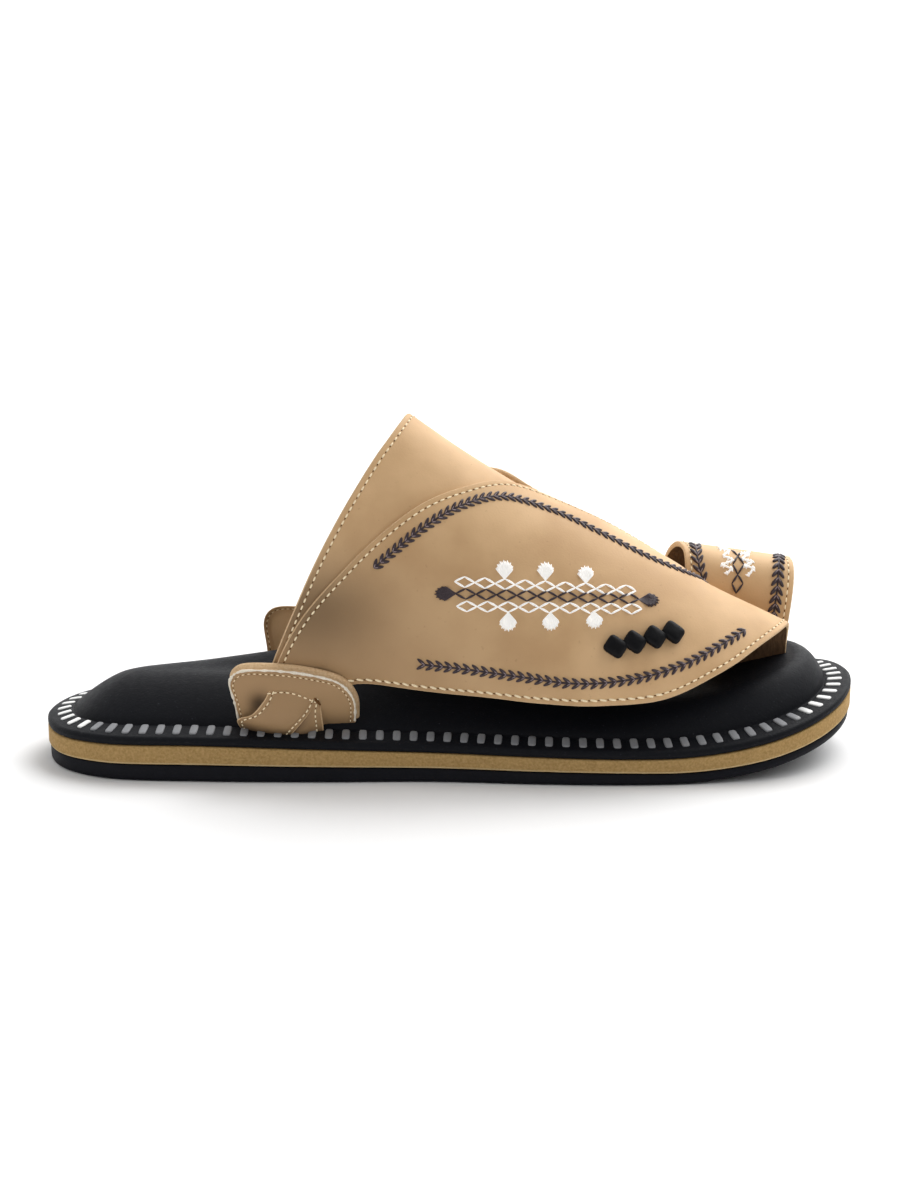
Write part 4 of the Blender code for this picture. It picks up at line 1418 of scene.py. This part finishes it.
def block(name, grids):
    """A hidden pattern object made of closed grids, for a tree to copy."""
    shape = Shape()
    for grid in grids:
        shape.grid(grid - SHIFT, loop=True)
    made = shape.make(name, [cream])
    made.hide_render = True
    patterns.append(made)
    return made


def lay_row(name, paths, pattern, pitch, finish, turn=0.0):
    """Copies of a pattern along paths, a pitch in millimetres apart."""
    values = {"Stitch": pattern, "Pitch": pitch * MM, "Turn": turn, "Finish": finish.material}
    grow(name, paths, ROWS, values)


def lay_threads(name, paths, radius, finish, sides=6):
    """A round thread along every path."""
    values = {"Radius": radius * MM, "Sides": sides, "Finish": finish.material}
    grow(name, paths, THREADS, values)


print("a row copies a pattern, and a thread thickens its path")

# %% [markdown]
# ## Bars round the border
# The flat border of the footbed carries a row of raised bars, white at heel and toe and grey along the
# sides, where the grey is painted shade. They are copies of one cushion along the outline, and smaller
# at both ends. Painted bars would be quicker, but these catch the light and show at the edge.

# %% Border bars
BAR_INSET = 5.9
BAR_PITCH = 5.85
BAR_SIZE = (2.75, 6.5, 1.0)
BAR_SQUARENESS = 4.5
BAR_FACES = (20, 7)
BAR_START = 1.85
BAR_SLACK = 0.998
TOE_BAR_SHARE = 0.82
TOE_BARS = (250.0, 285.0)
HEEL_BAR_SHARE = 0.78
HEEL_BARS = (8.0, 32.0)


def along_path(points, facing, places):
    """Points and directions at distances along a path."""
    steps = np.linalg.norm(np.diff(points, axis=0), axis=1)
    reach = np.concatenate(([0.0], np.cumsum(steps)))
    found = []
    for values in (points, facing):
        found.append(np.stack([np.interp(places, reach, values[:, k]) for k in range(3)], axis=1))
    return found


def path_length(points):
    """Length of a path in millimetres."""
    return float(np.linalg.norm(np.diff(points, axis=0), axis=1).sum())


def closed_loop(inset):
    """A loop on the footbed that ends where it starts."""
    loop = loop_at(inset, footbed_top)
    return np.vstack((loop, loop[:1]))


bar_loop = closed_loop(BAR_INSET)
inner_loop = closed_loop(BAR_INSET + 1)
bar_facing = np.cross(np.gradient(bar_loop, axis=0), inner_loop - bar_loop)
bar_facing /= np.linalg.norm(bar_facing, axis=1)[:, None]
bar_count = round(path_length(bar_loop) / BAR_PITCH)
bar_pitch = path_length(bar_loop) / bar_count
bar_places = BAR_START + bar_pitch * np.arange(bar_count)
bar_points, bar_facing = along_path(bar_loop, bar_facing, bar_places)
bar_scale = mix(1.0, TOE_BAR_SHARE, soft_step(*TOE_BARS, bar_points[:, 0]))
bar_scale *= mix(HEEL_BAR_SHARE, 1.0, soft_step(*HEEL_BARS, bar_points[:, 0]))
bar_path = path(bar_points, bar_facing, bar_scale)
bar_block = block("bar_pattern", [cushion(*BAR_SIZE, BAR_SQUARENESS, *BAR_FACES)])
lay_row("border_bars", [bar_path], bar_block, bar_pitch * BAR_SLACK, bars)

# %% [markdown]
# ## Edge stitching
# The edges that show are sewn with cream thread. Each seam is a path a little way in from its edge, with
# a dark mark between every two stitches that is painted shade for the needle hole there. Stitches
# painted on would look flat from the side.

# %% Stitch patterns
STITCH_SIZE = (1.75, 0.65, 0.6)
LOW_STITCH_SIZE = (2.6, 0.8, 0.75)
EAR_STITCH_SIZE = (0.95, 0.38, 0.38)
BAND_STITCH_SIZE = (1.35, 0.52, 0.5)
STITCH_SQUARENESS = 2.4
HOLE_SIZE = (0.9, 0.42, 0.28)
EAR_HOLE_SIZE = (0.6, 0.3, 0.22)
HOLE_SQUARENESS = 2.2
STITCH_FACES = (8, 5)


def oval(name, size, squareness=STITCH_SQUARENESS):
    """A pattern of one small oval."""
    return block(name + "_pattern", [cushion(*size, squareness, *STITCH_FACES)])


stitch_block = oval("stitch", STITCH_SIZE)
low_stitch_block = oval("low_stitch", LOW_STITCH_SIZE)
ear_stitch_block = oval("ear_stitch", EAR_STITCH_SIZE)
band_stitch_block = oval("band_stitch", BAND_STITCH_SIZE)
hole_block = oval("hole", HOLE_SIZE, HOLE_SQUARENESS)
ear_hole_block = oval("ear_hole", EAR_HOLE_SIZE, HOLE_SQUARENESS)


# %% Seams
def sew(name, seams, pattern, pitch, turn=0.0, needle=hole_block):
    """Stitches along seams, and dark marks of painted shade for the needle holes between them."""
    holes = []
    for points, facing in seams:
        places = np.arange(pitch / 2, path_length(points), pitch / 2)
        holes.append(path(*along_path(points, facing, places)))
    lay_row(name, [path(*seam) for seam in seams], pattern, pitch, cream, turn)
    lay_row(name + "_holes", holes, needle, pitch, hole, turn)


def part_of(seam, start, end):
    """A stretch of a seam between two shares of its rows."""
    first, last = (round(share * (len(seam[0]) - 1)) for share in (start, end))
    return seam[0][first : last + 1], seam[1][first : last + 1]


SEAM_PITCH = 2.7
LOW_PITCH = 3.2
LOW_SLANT = math.radians(-14)
LEAF_START = 0.05
HIGH_SEAM_END = 0.93
LOW_SEAM_SPLIT = 0.56
LOW_SEAM_END = 0.97

lateral_low_seam = lateral_skin.seam(STITCH_INSET)
leaf_seams = [
    part_of(lateral_skin.seam(STITCH_INSET, True), LEAF_START, HIGH_SEAM_END),
    part_of(medial_skin.seam(STITCH_INSET, True), LEAF_START, 1.0),
    part_of(lateral_low_seam, LOW_SEAM_SPLIT, LOW_SEAM_END),
]
low_seams = [
    part_of(lateral_low_seam, LEAF_START, LOW_SEAM_SPLIT),
    part_of(medial_skin.seam(STITCH_INSET), LEAF_START, 1.0),
]
ring_seams = [ring_skin.seam(STITCH_INSET), ring_skin.seam(STITCH_INSET, True)]
sew("panel_stitches", [panel_skin.seam(STITCH_INSET)], stitch_block, SEAM_PITCH)
sew("leaf_stitches", leaf_seams, stitch_block, SEAM_PITCH)
sew("leaf_low_stitches", low_seams, low_stitch_block, LOW_PITCH, LOW_SLANT)
sew("ring_stitches", ring_seams, stitch_block, SEAM_PITCH)

# %% Ear and band seams
EAR_PITCH = 1.95
EAR_SEAM_INSET = 1.5
EAR_SPAN = (0.06, 0.94)
SLIT_ROW = 6
BandSeam = namedtuple("BandSeam", "band inset from_end start end")
BAND_SEAMS = [
    BandSeam("knot", 1.4, False, 0.16, 0.88),
    BandSeam("knot", 1.3, True, 0.14, 0.88),
    BandSeam("tail", 2.0, True, 0.12, 0.88),
]

ear_seams = []
for ply in ("front", "back"):
    for word in SIDES:
        ear_seams.append(part_of(ear_skins[word, ply].seam(EAR_SEAM_INSET, True), *EAR_SPAN))
band_seams = []
for word in SIDES:
    for row in BAND_SEAMS:
        seam = band_skins[word, row.band].seam(row.inset, row.from_end)
        band_seams.append(part_of(seam, row.start, row.end))
    knot_skin = band_skins[word, "knot"]
    band_seams.append((knot_skin.points[SLIT_ROW], knot_skin.facing[SLIT_ROW]))
sew("ear_stitches", ear_seams, ear_stitch_block, EAR_PITCH, needle=ear_hole_block)
sew("band_stitches", band_seams, band_stitch_block, EAR_PITCH, needle=ear_hole_block)

# %% [markdown]
# ## Embroidery
# Two chains of fat plum stitches run along the strap like ears of wheat. Their places come from the
# photograph's pixels and are brought onto the leather by the skin. A chain could be a painted line, but
# real arms of thread stand up, so each arm is a dark cushion with a pale lilac one along its middle, a
# painted highlight for the shine of the thread.

# %% Chains
CHAIN_ARM = (3.65, 1.25, 1.2)
CHAIN_ANGLE = math.radians(33)
SHINE_ARM = (2.1, 0.48, 1.4)
ARM_POINT = 1.9
ARM_ROUND = 2.0
ARM_FACES = (10, 7)
ARM_OVERLAP = 0.2
SPINE_RADIUS = 0.36
SPINE_LIFT = 0.15
UPPER_CHAIN = [(374, 568), (420, 530), (460, 506), (500, 496), (550, 509), (600, 532)]
UPPER_CHAIN += [(650, 557), (702, 578)]
LOWER_CHAIN = [(745, 630), (690, 662), (640, 678), (580, 684), (520, 677), (470, 670), (425, 665)]
UPPER_PITCH = 2.8
LOWER_PITCH = 3.1


def arm(size, angle):
    """One arm of a chain stitch, pointed at both ends."""
    centred = cushion(*size, ARM_POINT, *ARM_FACES, ARM_ROUND)
    return (centred + np.array([size[0] / 2 - ARM_OVERLAP, 0, 0])) @ flat_turn(angle)


def chain_rows(name, seam, pitch, scale=1.0):
    """A chain of dark arms on a spine, each with a painted lilac highlight along its middle."""
    points, facing = seam
    lay_row(name, [path(points, facing, scale)], chain_block, pitch, plum)
    lay_row(name + "_shine", [path(points, facing, scale)], shine_block, pitch, lilac_highlight)
    lay_threads(name + "_spine", [path(points + SPINE_LIFT * facing, facing)], SPINE_RADIUS, plum)


def pixel_path(skin, pixels, samples=12):
    """A path on a skin through pixels of the photograph."""
    return skin.under(round_curve(pixels, samples))


both_sides = (CHAIN_ANGLE, -CHAIN_ANGLE)
chain_block = block("chain_pattern", [arm(CHAIN_ARM, angle) for angle in both_sides])
shine_block = block("shine_pattern", [arm(SHINE_ARM, angle) for angle in both_sides])
chain_rows("upper_chain", pixel_path(lateral_skin, UPPER_CHAIN), UPPER_PITCH)
chain_rows("lower_chain", pixel_path(lateral_skin, LOWER_CHAIN), LOWER_PITCH)

# %% [markdown]
# ## Lattice and fans
# Between the chains stand three rows of diamonds, white, plum and white, with fan-shaped tassels. Each
# thread is an arc between two pixels of the photograph, thickest where it stands highest. A fan is a
# sheaf of such threads from one anchor to the far side of an ellipse.

# %% Lattice and fans
LatticeRow = namedtuple("LatticeRow", "name start end thread")
LATTICE = [
    LatticeRow("lattice_top", (454.5, 581.5), (636.0, 591.0), white),
    LatticeRow("lattice_middle", (455.5, 593.6), (639.0, 599.0), plum),
    LatticeRow("lattice_low", (456.5, 606.2), (642.0, 609.0), white),
]
DIAMONDS = 9
DIAMOND_HALF = 5.3
THREAD_RADIUS = 0.41
THREAD_POINTS = 7
THREAD_SINK = 0.1
THREAD_TAPER = 0.5
THREAD_LIFT = 0.35
Fan = namedtuple("Fan", "anchor direction length width thread")
FANS = [
    Fan((504.6, 579.5), 90, 19.5, 17.5, white),
    Fan((545.5, 580.5), 90, 18.8, 17.0, white),
    Fan((586.0, 583.5), 92, 17.8, 16.5, white),
    Fan((508.4, 612.0), -92, 19.5, 17.5, white),
    Fan((550.5, 612.0), -90, 18.8, 17.0, white),
    Fan((594.0, 611.0), -88, 17.8, 17.0, white),
    Fan((456.5, 593.5), 180, 22.0, 14.5, plum),
    Fan((638.5, 599.5), -4, 21.0, 13.5, plum),
]
FAN_STITCHES = 14
FAN_SWEEP = 82
FAN_TEETH = 0.06
FAN_FULLEST = 0.8
FAN_LIFT = 0.6
FAN_RADIUS = 0.36


def stitch_paths(skin, pairs, lift, fullest):
    """One arched thread for every pair of pixels, thickest at a share of its length."""
    share = np.linspace(0, 1, THREAD_POINTS)
    swell = np.sin(np.pi * share ** (math.log(0.5) / math.log(fullest)))
    made = []
    for start, end in pairs:
        points, facing = skin.under(mix(np.array(start, float), np.array(end, float), share[:, None]))
        rise = (lift * swell - THREAD_SINK)[:, None]
        made.append(path(points + facing * rise, facing, mix(THREAD_TAPER, 1.0, swell)))
    return made


def diamonds(start, end, count, half):
    """Pixel pairs along the sides of a row of diamonds."""
    tips = [mix(np.array(start), np.array(end), k / count) for k in range(count + 1)]
    pairs = []
    for left, right in zip(tips, tips[1:]):
        for rise in (-half, half):
            peak = (left + right) / 2 + np.array([0, rise])
            pairs += [(left, peak), (peak, right)]
    return pairs


def fan_pairs(fan):
    """Pixel pairs from a fan's anchor to the far side of an ellipse that starts there."""
    out = np.array([math.cos(math.radians(fan.direction)), -math.sin(math.radians(fan.direction))])
    aside = np.array([-out[1], out[0]])
    pairs = []
    for k in range(FAN_STITCHES):
        turn = math.radians(FAN_SWEEP) * (2 * k / (FAN_STITCHES - 1) - 1)
        tip = fan.length / 2 * (1 + math.cos(turn)) * out + fan.width / 2 * math.sin(turn) * aside
        pairs.append((fan.anchor, np.array(fan.anchor) + tip * (1 - FAN_TEETH * (k % 2))))
    return pairs


def embroider(name, skin, pairs, radius, thread, lift=THREAD_LIFT, fullest=0.5):
    """Threads on a skin for pairs of pixels."""
    lay_threads(name, stitch_paths(skin, pairs, lift, fullest), radius, thread)


for row in LATTICE:
    pairs = diamonds(row.start, row.end, DIAMONDS, DIAMOND_HALF)
    embroider(row.name, lateral_skin, pairs, THREAD_RADIUS, row.thread)
for name, thread in (("fans_white", white), ("fans_plum", plum)):
    pairs = [pair for fan in FANS if fan.thread is thread for pair in fan_pairs(fan)]
    embroider(name, lateral_skin, pairs, FAN_RADIUS, thread, FAN_LIFT, FAN_FULLEST)

# %% [markdown]
# ## Ring embroidery
# The toe ring has a chain along each edge and a small motif between them: dark diamonds with a white
# zigzag on both sides. Short slanting tufts along the zigzags give them the uneven look of hand work.

# %% Ring embroidery
RING_LEFT_CHAIN = [(703.0, 582.0), (700.0, 570.0), (697.5, 558.0), (695.5, 546.0)]
RING_RIGHT_CHAIN = [(779.0, 555.0), (778.5, 570.0), (777.0, 590.0), (774.0, 612.0)]
RING_PITCH = 3.1
RING_CHAIN_SCALE = 1.2
TUFT_SLANTS = [(1.9, 0.9), (-0.9, 1.8), (0.4, 2.0)]
TUFT_RADIUS = 0.42
RING_DARK = [
    [(731.4, 550.1), (737.7, 555.9), (743.9, 564.4), (737.7, 574.6), (731.9, 583.6), (735.9, 593.4)],
    [(741.3, 552.8), (737.7, 555.9), (732.8, 564.4), (737.7, 574.6), (743.0, 583.6), (735.9, 593.4)],
]
RING_WHITE = [
    [(719.5, 549.0), (729.0, 551.5), (723.5, 556.0), (733.0, 560.5)]
    + [(721.5, 565.0), (732.0, 569.0), (726.0, 573.5)],
    [(740.0, 554.5), (749.5, 553.5), (742.5, 559.0), (752.5, 562.0)]
    + [(744.5, 566.0), (754.0, 568.5), (747.5, 575.5)],
]
TUFTS_PER_LEG = 4

for name, pixels in (("ring_left_chain", RING_LEFT_CHAIN), ("ring_right_chain", RING_RIGHT_CHAIN)):
    chain_rows(name, pixel_path(ring_skin, pixels), RING_PITCH, RING_CHAIN_SCALE)
for word, lines, thread in (("plum", RING_DARK, plum), ("white", RING_WHITE, white)):
    pairs = [pair for line in lines for pair in zip(line, line[1:])]
    embroider("ring_diamonds_" + word, ring_skin, pairs, THREAD_RADIUS, thread)
tufts = []
for line in RING_WHITE:
    for k, (across, down) in enumerate(round_curve(line, TUFTS_PER_LEG)):
        slant_x, slant_y = TUFT_SLANTS[k % len(TUFT_SLANTS)]
        tufts.append(((across - slant_x, down - slant_y), (across + slant_x, down + slant_y)))
embroider("ring_tufts_white", ring_skin, tufts, TUFT_RADIUS, white)

# %% [markdown]
# ## Far side
# The far strap isn't seen in the photograph. It gets the same two chains, at a set distance from its
# edges, and no lattice.

# %% Far chains
FAR_CHAIN_INSET = 8.0
FAR_HIGH_SPAN = (0.25, 0.95)
FAR_LOW_SPAN = (0.3, 0.95)

far_high = part_of(medial_skin.seam(FAR_CHAIN_INSET, True), *FAR_HIGH_SPAN)
far_low = part_of(medial_skin.seam(FAR_CHAIN_INSET), *FAR_LOW_SPAN)
chain_rows("far_upper_chain", far_high, UPPER_PITCH)
chain_rows("far_lower_chain", (far_low[0][::-1], far_low[1][::-1]), LOWER_PITCH)

# %% [markdown]
# ## Raw edges and slit ends
# The front ply of each ear was cut and left raw, so its rim is frayed and nearly white. A thread of
# uneven thickness along the rim shows that. The slit that the band comes out of ends in a small hole
# beside the band; its shade is painted as a short, thick, dark thread.

# %% Raw edges of the ears
RAW_RADIUS = 0.42
RAW_SINK = 0.1
RAW_THICKNESS = (0.5, 1.5)
RAW_SEED = 7

raw_paths = []
fraying = np.random.default_rng(RAW_SEED)
for word in SIDES:
    points, facing = part_of(ear_skins[word, "front"].seam(0.0, True), *EAR_SPAN)
    thickness = fraying.uniform(*RAW_THICKNESS, len(points))
    raw_paths.append(path(points - facing * RAW_SINK, facing, thickness))
lay_threads("ear_raw_edges", raw_paths, RAW_RADIUS, raw)

# %% Slit ends
SLIT_END = [(98.4, 12.4), (99.4, 11.0), (100.2, 9.6)]
SLIT_THICKNESS = (0.6, 1.0, 0.6)
SLIT_RADIUS = 0.55
SLIT_SINK = 0.1

slit_x, slit_z = np.array(SLIT_END).T
slit_paths = []
for side in SIDES.values():
    points = ear_place(side, slit_x, slit_z, EAR_FACE - SLIT_SINK)
    facing = np.tile((0.0, side, 0.0), (len(SLIT_END), 1))
    slit_paths.append(path(points, facing, SLIT_THICKNESS))
# Painted shade: a short dark thread where the slit's end opens into shade.
lay_threads("ear_slit_ends", slit_paths, SLIT_RADIUS, hole, sides=8)

# %% [markdown]
# ## Removing the patterns
# The pattern objects have been copied and are removed.

# %% Finish
for pattern in patterns:
    bpy.data.objects.remove(pattern)
